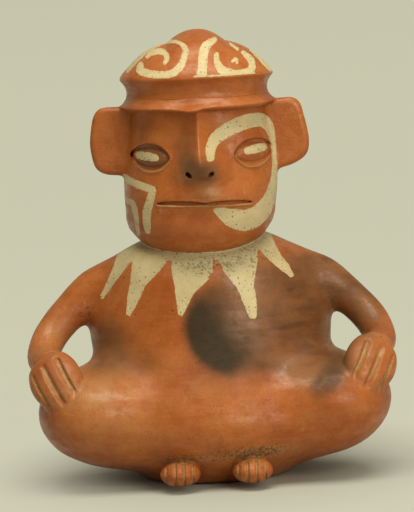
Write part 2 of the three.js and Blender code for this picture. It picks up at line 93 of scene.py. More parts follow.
HEAD_X = -0.6
JAW_SHIFT = 1.2
HEAD_Y = 2.0
HEAD_FOOT = 90.0
HEAD_HEIGHT = 67.8
HEAD_TOP = HEAD_FOOT + HEAD_HEIGHT
HEAD_HALF_WIDTH = 31.8
HEAD_FRONT = 34.0
HEAD_BACK = 31.0
HEAD_SEAM_Y = 3.0
HEAD_SQUARENESS = 2.4
HEAD_PROFILE_SHARES = (
    (0.0, 0.62, 0.5, 0.58),
    (0.05, 0.74, 0.69, 0.7),
    (0.085, 0.86, 0.84, 0.81),
    (0.12, 0.925, 0.905, 0.865),
    (0.18, 0.965, 0.955, 0.915),
    (0.315, 0.985, 1.005, 0.98),
    (0.543, 1.0, 1.0, 1.0),
    (0.772, 0.985, 0.965, 1.0),
    (0.9, 0.98, 0.955, 0.99),
    (0.96, 0.965, 0.955, 0.97),
    (1.0, 0.925, 0.94, 0.94),
)
BROW_Z = 153.6
BROW_REACH = 2.6

# Face, with the nose as rows of height, reach, half width and squareness

NOSE_ROWS = (
    (117.5, 0.3, 7.0, 2.4),
    (120.5, 2.2, 8.6, 2.6),
    (124.0, 4.8, 9.6, 2.6),
    (127.5, 9.0, 9.4, 2.2),
    (131.0, 12.2, 8.4, 1.8),
    (135.0, 13.2, 7.4, 1.35),
    (138.5, 11.6, 6.8, 1.2),
    (143.5, 9.2, 6.8, 1.15),
    (149.0, 7.0, 6.6, 1.15),
    (154.0, 4.4, 6.2, 1.2),
)
NOSTRIL_X = 4.4
NOSTRIL_Z = 127.6
NOSTRIL_RADIUS = 1.35
EYE_X = 21.2
EYE_Z = 134.9
EYE_HALF_LENGTH = 8.2
EYE_UPPER = 5.1
EYE_LOWER = 5.7
EYE_SLANT = math.radians(5.0)
EYEBALL_HALF = (7.0, 3.6)
EYEBALL_DEPTH = 0.9
EYEBALL_RISE = 1.2
LID_HEIGHT = 0.6
RIM_HEIGHT = 0.7
SOCKET_DEPTH = 3.4
MOUTH_Z = 115.1
MOUTH_HALF_LENGTH = 19.2
MOUTH_OPENING = 0.9
MOUTH_SLANT = 0.035
MOUTH_DEPTH = 2.0
LOWER_LIP = 0.4
UPPER_LIP = 0.1
MUZZLE = (1.5, 117.2, 12.0, 4.4)
MUZZLE_HEIGHT = 3.3
CHIN = (-2.0, 105.0, 15.0, 6.0)
CHIN_HEIGHT = 1.1
NOSE_MIDDLE = -1.0
JAW_LIFT_LEFT = 0.0062
JAW_LIFT_RIGHT = 0.0085

# Cap

BRIM_Z = 165.8
BRIM_EDGE = 0.8
BRIM_HALF_WIDTH = 31.8
BRIM_FRONT = 34.0
BRIM_BACK = 32.0
DOME_RISE = 14.2
RIDGE_HALF_WIDTH = 12.0
RIDGE_HEIGHT = 4.5
FLARE_SHARES = ((0.0, 0.925), (0.3, 0.917), (0.65, 0.938), (1.0, 1.0))
DOME_SHARES = (
    (0.0, 1.0),
    (0.2, 0.99),
    (0.38, 0.95),
    (0.56, 0.83),
    (0.73, 0.62),
    (0.85, 0.39),
    (0.94, 0.18),
    (1.0, 0.0),
)

# Ears, arms, hands and feet, for the right-hand side of the picture; finger cuts by place, width, depth

EAR_OUTLINES = {
    1: ((25.0, 154.6), (41.6, 155.4), (45.6, 133.0), (42.4, 128.3), (25.0, 125.0)),
    -1: ((25.0, 154.1), (43.2, 155.2), (45.9, 149.8), (46.1, 131.2), (43.6, 126.9), (25.0, 125.8)),
}
EAR_Y = 1.0
EAR_HALF_THICKNESS = 4.0
EAR_CORNER = 5.0
EAR_EDGE = 2.2
HAND_CENTRE = (64.0, -32.0, 46.2)
HAND_HALF = (14.8, 10.9, 7.0)
HAND_LEAN = (-0.4, -0.64, -0.66)
FINGER_SLANT = 0.05
WRIST_DEPTH = 0.8
HAND_GROOVES = ((-5.2, 0.95, 1.7), (0.9, 1.0, 1.9), (6.8, 0.6, 1.3))
FOOT_CENTRE = (15.4, -45.0, 7.4)
FOOT_HALF = (8.2, 9.0, 5.0)
FOOT_SHIFT = 1.6
TOE_GROOVES = (-5.4, -1.9, 1.7, 5.1)
TOE_DEPTH = 1.1
TOE_WIDTH = 0.42
ARM_ROUTE = (
    (30.0, 4.0, 83.0),
    (44.9, 4.0, 81.6),
    (57.6, 2.2, 71.4),
    (66.8, -3.0, 61.0),
    (69.6, -11.6, 54.1),
    (67.5, -21.5, 51.2),
    (64.3, -30.4, 48.2),
)
ARM_RADII = (8.4, 7.6, 7.1, 6.7, 6.2)

# Stirrup and spout, with the spout's radii at their heights

STIRRUP_Y = 38.0
STIRRUP_LOW = 70.0
STIRRUP_HIGH = 125.9
STIRRUP_REACH = 34.0
STIRRUP_RADIUS = 9.5
STIRRUP_BORE = 4.8
SPOUT_ANGLE = 0.96
SPOUT_LENGTH = 55.0
SPOUT_RADII = ((0.0, 8.6), (9.5, 8.6), (19.0, 7.6), (49.0, 7.6), (52.0, 8.7), (54.0, 8.7), (55.0, 8.0))
SPOUT_BORE = 5.0
SPOUT_FLARE = 1.6
STIRRUP_RUN_IN = 20.0

# How far round a form its field is still worked out, and how far round it the mesh is looked for

ROUTE_MARGIN = 22.0
BLEND_MARGIN = 12.0
MESH_MARGIN = 3.5

# How finely slopes are measured, and how far a point of the mesh may be moved onto the surface

SETTLE_STEP = 0.06
NORMAL_STEP = 0.2
LEAST_STEEPNESS = 0.2
LONGEST_MOVE = 0.4
BLOCK_POINTS = 5
BLOCK_REACH = 1.35
ON_PLANE = 0.002


# Settings that a user would change

def length_setting(name, description, default, low, high):
    """A length given in millimetres."""
    return FloatProperty(
        name=name, description=description, default=default * MM, min=low * MM, max=high * MM, unit="LENGTH",
    )


def angle_setting(name, description, degrees):
    return FloatProperty(name=name, description=description, default=math.radians(degrees), subtype="ANGLE")


def colour_setting(name, description, default):
    return FloatVectorProperty(
        name=name, description=description, default=default, min=0.0, max=1.0, subtype="COLOR",
    )


class BottleShape(PropertyGroup):
    wall: length_setting("Wall", "Thickness of the clay in the body, head and cap", 5.0, 2.0, 8.0)
    unevenness: length_setting(
        "Unevenness", "How far the hand-formed surface strays from its plain form", 0.3, 0.0, 1.0,
    )
    relief: FloatProperty(
        name="Face relief",
        description="Share of the full depth of the nose, eyes and mouth",
        default=1.0,
        min=0.0,
        max=1.3,
        subtype="FACTOR",
    )
    fineness: length_setting(
        "Fineness",
        "Length of a mesh edge on the hands and feet; the larger forms use up to twice as much",
        0.42, 0.3, 2.0,
    )


class BottleColours(PropertyGroup):
    slip: colour_setting("Red slip", "Burnished red slip of the body, head and handle", (0.43, 0.1, 0.014))
    cream: colour_setting("Cream slip", "Painted bands, collar and scrolls", (0.66, 0.54, 0.33))
    # This colour also paints the shade beside and under the nose.
    smoke_and_shade: colour_setting("Fire cloud", "Darkest part of the smoked patches", (0.021, 0.012, 0.004))
    bare: colour_setting("Bare clay", "Unslipped clay of the underside", (0.42, 0.2, 0.085))


class BottleStage(PropertyGroup):
    floor: colour_setting("Floor", "Floor and backdrop", (0.46, 0.455, 0.42))
    distance: length_setting(
        "Camera distance", "From the camera to the middle of the bottle", 1300.0, 500.0, 5000.0,
    )
    elevation: angle_setting("Camera elevation", "Angle at which the camera looks down", 5.25)
    roll: angle_setting("Camera roll", "Turn of the picture, which makes the upright bottle lean", -3.0)


# Fields: functions of points that are negative inside the clay, in millimetres

def vector(values):
    return np.array(values, dtype=np.float32)


def filled(p, value):
    return np.full(len(p), value, dtype=np.float32)


def soft_line(away, width):
    """1 along the middle of a line and 0 well beside it."""
    return np.exp(-(away / width) ** 2)


def bump(x, z, middle_x, middle_z, spread_x, spread_z):
    return np.exp(-((x - middle_x) / spread_x) ** 2 - ((z - middle_z) / spread_z) ** 2)


def step_up(value, soft):
    """0 below zero and 1 above it, with a smooth rise."""
    share = np.clip(value / soft + 0.5, 0, 1)
    return share * share * (3 - 2 * share)


def blended(a, b, reach):
    """The smaller of two fields, rounded where they are within reach of each other."""
    mix = np.maximum(reach - np.abs(a - b), 0.0) / reach
    return np.minimum(a, b) - mix * mix * reach / 4


def cut_out(field, space, reach=0.02):
    return -blended(-field, space, reach)


def oval_field(q, half):
    """Distance from an oval round the origin with these half sizes, close to its surface."""
    near = np.linalg.norm(q / half, axis=1)
    steep = np.linalg.norm(q / half**2, axis=1)
    return near * (near - 1) / np.maximum(steep, 1e-5)


def swell_field(p, form, side=0.0, rise=0.0):
    half = vector((form.half_width, form.half_depth, form.half_height))
    return oval_field(p - vector((side, form.y, form.z + rise)), half)


def body_form(p):
    whole = swell_field(p, TORSO)
    for form in (BELLY, YOKE, LAP, SEAT):
        whole = blended(whole, swell_field(p, form), BODY_BLEND)
    for side, rise in ((KNEE.x, RIGHT_KNEE_RISE), (-KNEE.x, 0.0)):
        whole = blended(whole, swell_field(p, KNEE, side, rise), THIGH_BLEND)
    return whole - THIGH_CREST_HEIGHT * sum(spot(p, *crest) for crest in THIGH_CRESTS)


def body_field(p):
    return cut_out(body_form(p), p[:, 2], 2.0)


def smooth_rows(rows, places):
    """Smooth curves through rows of (place, value, ...), one array for each value."""
    table = np.array(rows)
    at = table[:, 0]
    fine = np.linspace(at[0], at[-1], 400)
    curves = []
    for column in table.T[1:]:
        slopes = np.gradient(column, at)
        row = np.clip(np.searchsorted(at, fine) - 1, 0, len(at) - 2)
        span = at[row + 1] - at[row]
        share = (fine - at[row]) / span
        rise = column[row + 1] - column[row]
        leave = slopes[row] * span
        arrive = slopes[row + 1] * span
        curve = leave + share * (3 * rise - 2 * leave - arrive + share * (leave + arrive - 2 * rise))
        curves.append(np.interp(places, fine, column[row] + share * curve).astype(np.float32))
    return curves


def oval_distance(p, half_width, front, back, centre_y):
    """Distance from an upright oval wall that is squarer at the front, and the share of the way out."""
    x = np.abs(p[:, 0] - HEAD_X + JAW_SHIFT * step_up(119.0 - p[:, 2], 30.0))
    y = p[:, 1] - centre_y
    ahead = y < 0
    depth = np.where(ahead, front, back)
    power = np.where(ahead, HEAD_SQUARENESS, 2.0)
    share = ((x / half_width) ** power + (np.abs(y) / depth) ** power) ** (1 / power)
    radius = np.hypot(x, y)
    return radius * (1 - 1 / np.maximum(share, 1e-3)), share


def eye_opening(x, z):
    """Places along and across the eye, its two edges, and how far a point is inside it."""
    out = np.abs(x) - EYE_X
    up = z - EYE_Z
    along = out * math.cos(EYE_SLANT) + up * math.sin(EYE_SLANT)
    across = up * math.cos(EYE_SLANT) - out * math.sin(EYE_SLANT)
    width = np.clip(1 - np.abs(along / EYE_HALF_LENGTH) ** 2.1, 0, 1)
    upper = EYE_UPPER * width ** 0.8
    lower = -EYE_LOWER * width ** 0.75
    ends = step_up(width - 0.03, 0.08)
    inside = step_up(upper - across, 1.1) * step_up(across - lower, 1.1) * ends
    return along, across, upper, lower, inside


def eye_relief(x, z):
    """An eyeball set deep under a heavy upper lid, in a socket with a thin raised rim below."""
    along, across, upper, lower, inside = eye_opening(x, z)
    half_length, half_height = EYEBALL_HALF
    ball = np.sqrt(np.clip(1 - (along / half_length) ** 2 - ((across + 0.3) / half_height) ** 2, 0, 1))
    sunk = -EYEBALL_DEPTH - 0.2 * step_up(across - 0.5, 3.0) + EYEBALL_RISE * ball
    lid = LID_HEIGHT * np.exp(-np.maximum(across - upper, 0) / 3.2) * step_up(across - upper, 0.5)
    rim = RIM_HEIGHT * soft_line(across - lower + 0.45, 0.6)
    reach = step_up(EYE_HALF_LENGTH + 0.6 - np.abs(along), 2.4)
    return inside * sunk + (lid + rim) * reach


def mouth_relief(x, z):
    """A slit under two arcs that meet in the middle, over a thin lower lip."""
    middle = MOUTH_Z - MOUTH_SLANT * x
    share = np.abs(x) / MOUTH_HALF_LENGTH
    arch = np.clip(4 * share * (1 - share), 0, 1) ** 0.6
    upper = middle + 0.3 + MOUTH_OPENING * arch
    lower = middle - 0.15 - 0.3 * arch
    inside = step_up(upper - z, 0.4) * step_up(z - lower, 0.3) * step_up(1 - share, 0.06)
    lip = soft_line(z - lower + 0.45, 0.45) * step_up(1.02 - share, 0.08)
    above = np.exp(-np.maximum(z - upper, 0) / 1.4) * step_up(z - upper, 0.4) * step_up(1 - share, 0.1)
    return -MOUTH_DEPTH * inside + LOWER_LIP * lip + UPPER_LIP * above


def nose_relief(x, z):
    reach, width, squareness = smooth_rows(NOSE_ROWS, z)
    inside = step_up(z - NOSE_ROWS[0][0], 2.0) * step_up(NOSE_ROWS[-1][0] - z, 3.0)
    across = np.sqrt(((x - NOSE_MIDDLE) / width) ** 2 + 0.01)
    return inside * reach * np.exp(-1.25 * across ** squareness)


def brow_line(x):
    """Height of the lower edge of the brow, which dips beside the middle."""
    left = 1.4 * step_up(-1.5 - x, 7.0) * np.exp(-np.maximum(-5.0 - x, 0) / 9.0)
    right = 0.5 * step_up(x + 1.0, 5.0) * soft_line(x - 14.0, 12.0)
    return BROW_Z - 0.5 - left - right


def brow_relief(x, z):
    above = z - brow_line(x)
    sides = step_up(29.5 - np.abs(x - HEAD_X), 9.0)
    return BROW_REACH * sides * step_up(above, 1.0) * np.exp(-np.maximum(above - 0.6, 0) ** 2 / 2.9 ** 2)


def face_relief(p):
    x = p[:, 0]
    z = p[:, 2]
    front = step_up(HEAD_Y - 4.0 - p[:, 1], 10.0)
    under_brow = step_up(z - 131.0, 26.0) * step_up(brow_line(x) + 0.5 - z, 2.2)
    sockets = SOCKET_DEPTH * under_brow * (1 - 0.45 * bump(np.abs(x), z, EYE_X, 141.0, 9.0, 6.0))
    muzzle = bump(x, z, *MUZZLE) * MUZZLE_HEIGHT
    chin = bump(x, z, *CHIN) * CHIN_HEIGHT
    face = nose_relief(x, z) - sockets + muzzle + chin + eye_relief(x, z) + mouth_relief(x, z)
    return face * front * scene_shape().relief + brow_relief(x, z)


def capsule_field(p, start, end, radius):
    start = vector(start)
    way = vector(end) - start
    share = np.clip((p - start) @ way / (way @ way), 0, 1)
    return np.linalg.norm(p - start - share[:, None] * way, axis=1) - radius


def nostril_space(p):
    holes = [
        capsule_field(
            p,
            (side * (NOSTRIL_X + 0.3) - 1.2, HEAD_Y - HEAD_FRONT - 8.0, NOSTRIL_Z - 1.9),
            (side * (NOSTRIL_X - 0.6) - 1.2, HEAD_Y - HEAD_FRONT + 3.0, NOSTRIL_Z + 3.6),
            NOSTRIL_RADIUS,
        )
        for side in (-1, 1)
    ]
    return np.minimum(*holes)


def jaw_lift(p):
    """The lower edge of the jaw rises towards the ears, more so on the right."""
    x = np.clip(p[:, 0], -30.0, 30.0)
    return np.where(x < 0, JAW_LIFT_LEFT, JAW_LIFT_RIGHT) * x * x * step_up(109.0 - p[:, 2], 14.0)


def plain_head(p):
    share = np.clip((p[:, 2] - jaw_lift(p) - HEAD_FOOT) / HEAD_HEIGHT, 0, 1)
    width, front, back = smooth_rows(HEAD_PROFILE_SHARES, share)
    sizes = (HEAD_HALF_WIDTH * width, HEAD_FRONT * front, HEAD_BACK * back)
    return oval_distance(p, *sizes, HEAD_Y)[0]


def head_field(p):
    sides = plain_head(p) - face_relief(p)
    whole = np.maximum(sides, np.maximum(p[:, 2] - HEAD_TOP, HEAD_FOOT - p[:, 2]))
    return cut_out(whole, nostril_space(p), 0.5)


def cap_field(p):
    z = p[:, 2]
    share = np.clip((z - HEAD_TOP) / (BRIM_Z - HEAD_TOP), 0, 1)
    flare = smooth_rows(FLARE_SHARES, share)[0]
    sizes = (BRIM_HALF_WIDTH * flare, BRIM_FRONT * flare, BRIM_BACK * flare)
    sides = oval_distance(p, *sizes, HEAD_Y)[0] - brow_relief(p[:, 0], z)
    out = oval_distance(p, BRIM_HALF_WIDTH, BRIM_FRONT, BRIM_BACK, HEAD_Y)[1]
    rise = smooth_rows(DOME_SHARES, np.clip(out, 0, 1))[0]
    crest = RIDGE_HEIGHT * np.clip(1 - (p[:, 0] / RIDGE_HALF_WIDTH) ** 2, 0, 1)
    slope = np.clip((out - 0.25) * 1.35, 0, 1)
    over = z - BRIM_Z - BRIM_EDGE - rise * (DOME_RISE + crest) + 14.0 * np.maximum(out - 1, 0)
    dome = over / np.sqrt(1 + slope ** 2)
    return np.maximum(-blended(-sides, -dome, 0.9), HEAD_TOP - 0.3 - z)


def ear_field(p, side):
    x = side * p[:, 0]
    z = p[:, 2]
    flat = None
    outline = EAR_OUTLINES[side]
    for (x0, z0), (x1, z1) in zip(outline, outline[1:] + outline[:1]):
        length = math.hypot(x1 - x0, z1 - z0)
        edge = ((x1 - x0) * (z - z0) - (z1 - z0) * (x - x0)) / length
        flat = edge if flat is None else -blended(-flat, -edge, EAR_CORNER)
    thick = np.abs(p[:, 1] - EAR_Y) - EAR_HALF_THICKNESS + 0.035 * np.maximum(x - 32.0, 0)
    corner = np.hypot(np.maximum(flat + EAR_EDGE, 0), np.maximum(thick + EAR_EDGE, 0))
    return corner - EAR_EDGE + np.minimum(np.maximum(flat, thick) + EAR_EDGE, 0)


def route_distance(p, route):
    """Distance to a route of points, long for those well away from it, and the share of the way along it."""
    distance = filled(p, 1e3)
    share = filled(p, 0.0)
    near = np.all((p > route.min(axis=0) - ROUTE_MARGIN) & (p < route.max(axis=0) + ROUTE_MARGIN), axis=1)
    if near.any():
        distance[near], share[near] = near_route(p[near], route)
    return distance, share


def near_route(p, route):
    best = filled(p, 1e9)
    share = filled(p, 0.0)
    for index in range(len(route) - 1):
        start = route[index].astype(np.float32)
        way = (route[index + 1] - route[index]).astype(np.float32)
        t = np.clip((p - start) @ way / (way @ way), 0, 1)
        gap = p - start - t[:, None] * way
        distance = np.einsum("ij,ij->i", gap, gap)
        closer = distance < best
        best = np.where(closer, distance, best)
        share = np.where(closer, (index + t) / (len(route) - 1), share)
    return np.sqrt(best), share


def smooth_route(points, count):
    """Evenly spaced points on a smooth curve through the given ones."""
    rows = np.array(points)
    lengths = np.linalg.norm(np.diff(rows, axis=0), axis=1) ** 0.5
    places = np.concatenate(([0.0], np.cumsum(lengths)))
    table = np.column_stack((places, rows))
    fine = np.linspace(0, places[-1], 8 * count)
    curve = np.column_stack(smooth_rows(table, fine))
    run = np.concatenate(([0.0], np.cumsum(np.linalg.norm(np.diff(curve, axis=0), axis=1))))
    even = np.linspace(0, run[-1], count)
    return np.column_stack([np.interp(even, run, column) for column in curve.T])


def mirrored(points, side):
    """The points on the given side; the right-hand knee, and what ends on it, lies a little higher."""
    rise = RIGHT_KNEE_RISE if side > 0 else 0.0
    last = max(len(points) - 1, 1)
    return [(side * x, y, z + rise * (index + 1) / (last + 1)) for index, (x, y, z) in enumerate(points)]


@lru_cache(maxsize=None)
def arm_route(side):
    return smooth_route(mirrored(ARM_ROUTE, side), 36)


def arm_field(p, side):
    distance, share = route_distance(p, arm_route(side))
    radius = np.interp(share, np.linspace(0, 1, len(ARM_RADII)), ARM_RADII)
    return distance - radius.astype(np.float32)


@lru_cache(maxsize=None)
def hand_frame(side):
    """Axes of the hand as rows: along the fingers, across them, and out of the back of the hand."""
    centre = vector(mirrored([HAND_CENTRE], side))
    along = np.array(HAND_LEAN) * (side, 1.0, 1.0)
    along /= np.linalg.norm(along)
    away = level_and_slope(body_form, centre, 0.3)[1][0]
    across = np.cross(away, along)
    across /= np.linalg.norm(across)
    return centre[0], vector((along, across, np.cross(along, across)))


def in_hand(p, side):
    """Places along, across and out of the hand, and the share of the way out to its surface."""
    centre, axes = hand_frame(side)
    local = (p - centre) @ axes.T
    out = np.linalg.norm(local / vector(HAND_HALF), axis=1)
    return local[:, 0], local[:, 1] * side, local[:, 2], out


def hand_field(p, side):
    along, across, away, _ = in_hand(p, side)
    palm = oval_field(np.column_stack((along, across, away)), vector(HAND_HALF))
    grooves = filled(p, 0.0)
    for place, width, depth in HAND_GROOVES:
        fade = step_up(along + 5.5, 3.0)
        grooves += fade * depth * soft_line(across - place - FINGER_SLANT * along, width)
    wrist = WRIST_DEPTH * soft_line(along + 11.0, 1.3)
    return palm + (grooves + wrist) * step_up(away - 0.5, 3.0)


def foot_centre(side):
    x, y, z = FOOT_CENTRE
    return vector((side * x - FOOT_SHIFT * (side > 0), y, z))


def foot_field(p, side):
    local = p - foot_centre(side)
    whole = cut_out(oval_field(local, vector(FOOT_HALF)), p[:, 2] - 0.4, 1.5)
    grooves = filled(p, 0.0)
    for place in TOE_GROOVES:
        grooves += TOE_DEPTH * soft_line(local[:, 0] - place, TOE_WIDTH)
    return whole + grooves * step_up(-3.0 - local[:, 1], 3.0)


@lru_cache(maxsize=None)
def stirrup_route(count=48):
    """Straight out of the back, round half an oval and straight into the head, ending inside both."""
    middle = (STIRRUP_HIGH + STIRRUP_LOW) / 2
    half_span = (STIRRUP_HIGH - STIRRUP_LOW) / 2
    angles = np.linspace(-math.pi / 2, math.pi / 2, count)
    arc = np.column_stack((
        np.zeros(count),
        STIRRUP_Y + STIRRUP_REACH * np.cos(angles),
        middle + half_span * np.sin(angles),
    ))
    start = (0.0, STIRRUP_Y - STIRRUP_RUN_IN, STIRRUP_LOW)
    end = (0.0, STIRRUP_Y - STIRRUP_RUN_IN, STIRRUP_HIGH)
    return np.vstack((start, arc, end))


def stirrup_field(p, radius=STIRRUP_RADIUS):
    return route_distance(p, stirrup_route())[0] - radius


def spout_start():
    middle = (STIRRUP_HIGH + STIRRUP_LOW) / 2
    half_span = (STIRRUP_HIGH - STIRRUP_LOW) / 2
    return (
        STIRRUP_Y + STIRRUP_REACH * math.cos(SPOUT_ANGLE),
        middle + half_span * math.sin(SPOUT_ANGLE),
    )


def spout_field(p):
    y, start = spout_start()
    up = p[:, 2] - start
    radius = smooth_rows(SPOUT_RADII, np.clip(up, 0, SPOUT_LENGTH))[0]
    sides = np.hypot(p[:, 0], p[:, 1] - y) - radius
    return -blended(-sides, -np.maximum(up - SPOUT_LENGTH, -up), 2.0)


def spout_bore(p):
    y, start = spout_start()
    flare = SPOUT_FLARE * np.clip((p[:, 2] - start - SPOUT_LENGTH + 3.0) / 3.0, 0, 1.5) ** 2
    return np.maximum(np.hypot(p[:, 0], p[:, 1] - y) - SPOUT_BORE - flare, start - p[:, 2])


def base_field(p):
    sides = np.hypot(p[:, 0], p[:, 1]) - BASE_RADIUS
    flat = np.abs(p[:, 2] - BASE_THICKNESS / 2) - BASE_THICKNESS / 2
    return -blended(-sides, -flat, 1.2)


def unevenness(p):
    """Slow rises and hollows of a hand-formed surface."""
    x, y, z = (p * np.float32(0.001)).T
    waves = np.sin(212 * x + 1.3) * np.sin(187 * z + 0.4)
    waves += 0.8 * np.sin(168 * y + 2.1) * np.sin(241 * x - 0.7 + 90 * z)
    waves += 0.45 * np.sin(402 * x + 130 * z) * np.sin(391 * z - 115 * y + 1.9)
    return waves * (scene_shape().unevenness / MM / 2.2)


# The forms that make up the whole, each with the nodes whose box it fills and how widely it is smoothed in

ClayForm = namedtuple("ClayForm", "name nodes reach field")

FORMS = [
    ClayForm("body", ("body_front_shell", "body_back_shell"), 1.0, body_field),
    ClayForm("arm_left", ("arm_left",), 7.0, lambda p: arm_field(p, -1)),
    ClayForm("arm_right", ("arm_right",), 7.0, lambda p: arm_field(p, 1)),
    ClayForm("hand_left", ("hand_left",), 1.6, lambda p: hand_field(p, -1)),
    ClayForm("hand_right", ("hand_right",), 1.6, lambda p: hand_field(p, 1)),
    ClayForm("foot_left", ("foot_left",), 1.2, lambda p: foot_field(p, -1)),
    ClayForm("foot_right", ("foot_right",), 1.2, lambda p: foot_field(p, 1)),
    ClayForm("head", ("face_shell", "head_back_shell"), 1.4, head_field),
    ClayForm("cap", ("cap",), 0.05, cap_field),
    ClayForm("ear_left", ("ear_left",), 2.6, lambda p: ear_field(p, -1)),
    ClayForm("ear_right", ("ear_right",), 2.6, lambda p: ear_field(p, 1)),
    ClayForm("stirrup", ("stirrup_lower_branch", "stirrup_upper_branch"), 5.0, stirrup_field),
    ClayForm("spout", ("spout",), 3.0, spout_field),
]


@lru_cache(maxsize=None)
def form_box(form, margin):
    boxes = [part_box(node) for node in form.nodes]
    low = np.min([low for low, high in boxes], axis=0) / MM - margin
    high = np.max([high for low, high in boxes], axis=0) / MM + margin
    return low, high


def dive(covered, width=3.0):
    """How far a form sinks under its neighbour where the neighbour covers it by this much."""
    return np.where(covered < width, np.maximum(covered, 0) ** 2 / (2 * width), covered - width / 2)


def clay_field(p, name):
    """The surface of the joined forms for one of them, which goes on below the others where they cover it."""
    joined = None
    own = None
    others = filled(p, 1e6)
    for form in FORMS:
        low, high = form_box(form, BLEND_MARGIN)
        near = np.all((p > low) & (p < high), axis=1)
        field = filled(p, 1e6)
        if near.any():
            field[near] = form.field(p[near])
        joined = field if joined is None else blended(joined, field, form.reach)
        if form.name == name:
            own = field
        else:
            others = np.minimum(others, field)
    return joined + dive(own - others) + unevenness(p)


CORNERS = vector(((1, 1, 1), (1, -1, -1), (-1, 1, -1), (-1, -1, 1)))


def level_and_slope(field, p, step):
    """The field and its slope at the points, from the corners of a small tetrahedron round each."""
    level = filled(p, 0.0)
    slope = np.zeros((len(p), 3), dtype=np.float32)
    for corner in CORNERS:
        value = field(p + corner * np.float32(step)).astype(np.float32)
        level += value / 4
        slope += value[:, None] * corner / np.float32(4 * step)
    return level, slope


# Paint: brush strokes as points of x, z and half their width, as the front shows them

BRUSH_SPREAD = 0.2
NO_PAINT = 20.0
COLLAR_DROP = 4.0
FACE_BAND = (
    (3.5, 134.2, 1.5),
    (3.8, 137.8, 1.9),
    (6.2, 141.5, 2.4),
    (10.8, 144.2, 2.6),
    (15.4, 146.1, 2.7),
    (20.6, 147.3, 2.7),
    (25.1, 147.0, 2.5),
    (27.9, 144.3, 1.9),
    (29.3, 140.0, 1.2),
    (29.9, 135.0, 0.9),
    (29.9, 130.0, 0.9),
    (29.6, 125.0, 1.2),
    (28.8, 120.3, 1.8),
    (27.5, 116.0, 2.5),
    (25.0, 112.0, 3.4),
    (21.3, 108.6, 4.0),
    (16.5, 107.2, 4.2),
    (11.5, 108.6, 3.7),
    (7.2, 110.9, 2.2),
    (4.6, 112.4, 0.9),
)
CHEEK_STROKES = (
    ((-32.0, 125.7, 1.3), (-26.9, 123.7, 1.3), (-22.7, 122.3, 1.4), (-20.6, 121.6, 1.2)),
    ((-20.7, 121.4, 1.3), (-21.7, 118.1, 1.4), (-23.2, 113.6, 1.5), (-23.9, 108.4, 1.5), (-23.5, 104.5, 0.9)),
    ((-32.4, 116.8, 0.9), (-29.4, 115.8, 1.1), (-28.4, 112.0, 1.0), (-28.0, 107.4, 0.8), (-27.5, 103.0, 0.5)),
)
EYE_BARS = (
    ((-25.6, 135.3, 1.4), (-22.0, 135.0, 1.5), (-19.0, 134.4, 1.3)),
    ((18.8, 135.3, 1.3), (22.0, 135.8, 1.6), (25.4, 136.0, 1.4)),
)
CAP_STROKES = (
    ((-20.2, 175.2, 0.5), (-18.4, 176.6, 0.8), (-15.5, 177.3, 1.0), (-13.0, 176.6, 1.0), (-12.0, 174.6, 0.9),
     (-13.0, 172.6, 0.5)),
    ((-23.0, 172.0, 1.1), (-23.3, 170.2, 1.4), (-19.6, 168.7, 1.4), (-14.5, 168.1, 1.3), (-10.1, 168.5, 1.3),
     (-7.1, 170.7, 1.2), (-5.2, 174.1, 1.1), (-4.4, 177.8, 1.0), (-6.6, 180.3, 0.6), (-10.5, 180.9, 0.5),
     (-15.5, 179.6, 0.4), (-20.1, 177.2, 0.35), (-24.7, 173.7, 0.4), (-28.6, 169.9, 0.6)),
    ((1.6, 166.4, 2.0), (2.2, 170.3, 1.7), (2.6, 174.6, 1.7), (4.1, 178.6, 1.6), (7.6, 180.8, 0.9)),
    ((8.2, 175.0, 0.7), (8.2, 172.1, 1.1), (10.1, 168.6, 1.5), (14.5, 167.3, 1.3), (19.0, 167.1, 1.3),
     (22.0, 168.3, 1.3), (22.3, 171.1, 1.2), (20.5, 173.7, 0.9), (18.9, 175.2, 0.4)),
    ((14.0, 178.8, 0.2), (17.0, 176.5, 0.3)),
    ((14.4, 171.8, 0.3), (15.8, 172.5, 0.6), (16.3, 171.2, 0.3)),
    ((22.4, 175.5, 0.3), (26.6, 171.2, 0.5), (30.3, 166.9, 0.6)),
    ((-1.2, 166.5, 0.4), (14.0, 166.7, 0.3), (22.8, 166.9, 0.4)),
)
COLLAR_POINTS = (
    ((-32.8, 95.2, 3.2), (-38.0, 86.8, 1.7), (-44.2, 77.0, 0.6)),
    ((-23.5, 94.0, 6.8), (-28.5, 84.0, 3.2), (-31.2, 77.0, 2.2), (-33.2, 71.2, 0.9)),
    ((-6.4, 89.8, 8.4), (-9.4, 81.6, 4.2), (-11.0, 75.5, 2.3), (-11.7, 71.2, 0.9)),
    ((12.8, 92.4, 8.0), (14.8, 81.6, 3.6), (16.7, 73.2, 2.4), (17.4, 69.0, 1.5)),
    ((23.6, 97.4, 3.4), (28.1, 90.6, 2.2), (32.1, 86.0, 1.5), (34.3, 82.9, 0.8)),
)


@lru_cache(maxsize=None)
def smooth_stroke(stroke):
    return [tuple(map(float, row)) for row in smooth_route(stroke, 4 * len(stroke))]


def stroke_field(x, z, stroke):
    """Distance in millimetres from the edge of a painted stroke, negative inside it."""
    best = np.full(len(x), 1e3, dtype=np.float32)
    rows = smooth_stroke(stroke)
    for (x0, z0, r0), (x1, z1, r1) in zip(rows, rows[1:]):
        way = (x1 - x0, z1 - z0)
        length = way[0] ** 2 + way[1] ** 2
        share = np.clip(((x - x0) * way[0] + (z - z0) * way[1]) / length, 0, 1)
        gap = np.hypot(x - x0 - share * way[0], z - z0 - share * way[1])
        best = np.minimum(best, gap - r0 - (r1 - r0) * share)
    return best - BRUSH_SPREAD


def strokes_field(x, z, strokes):
    return np.min([stroke_field(x, z, stroke) for stroke in strokes], axis=0)


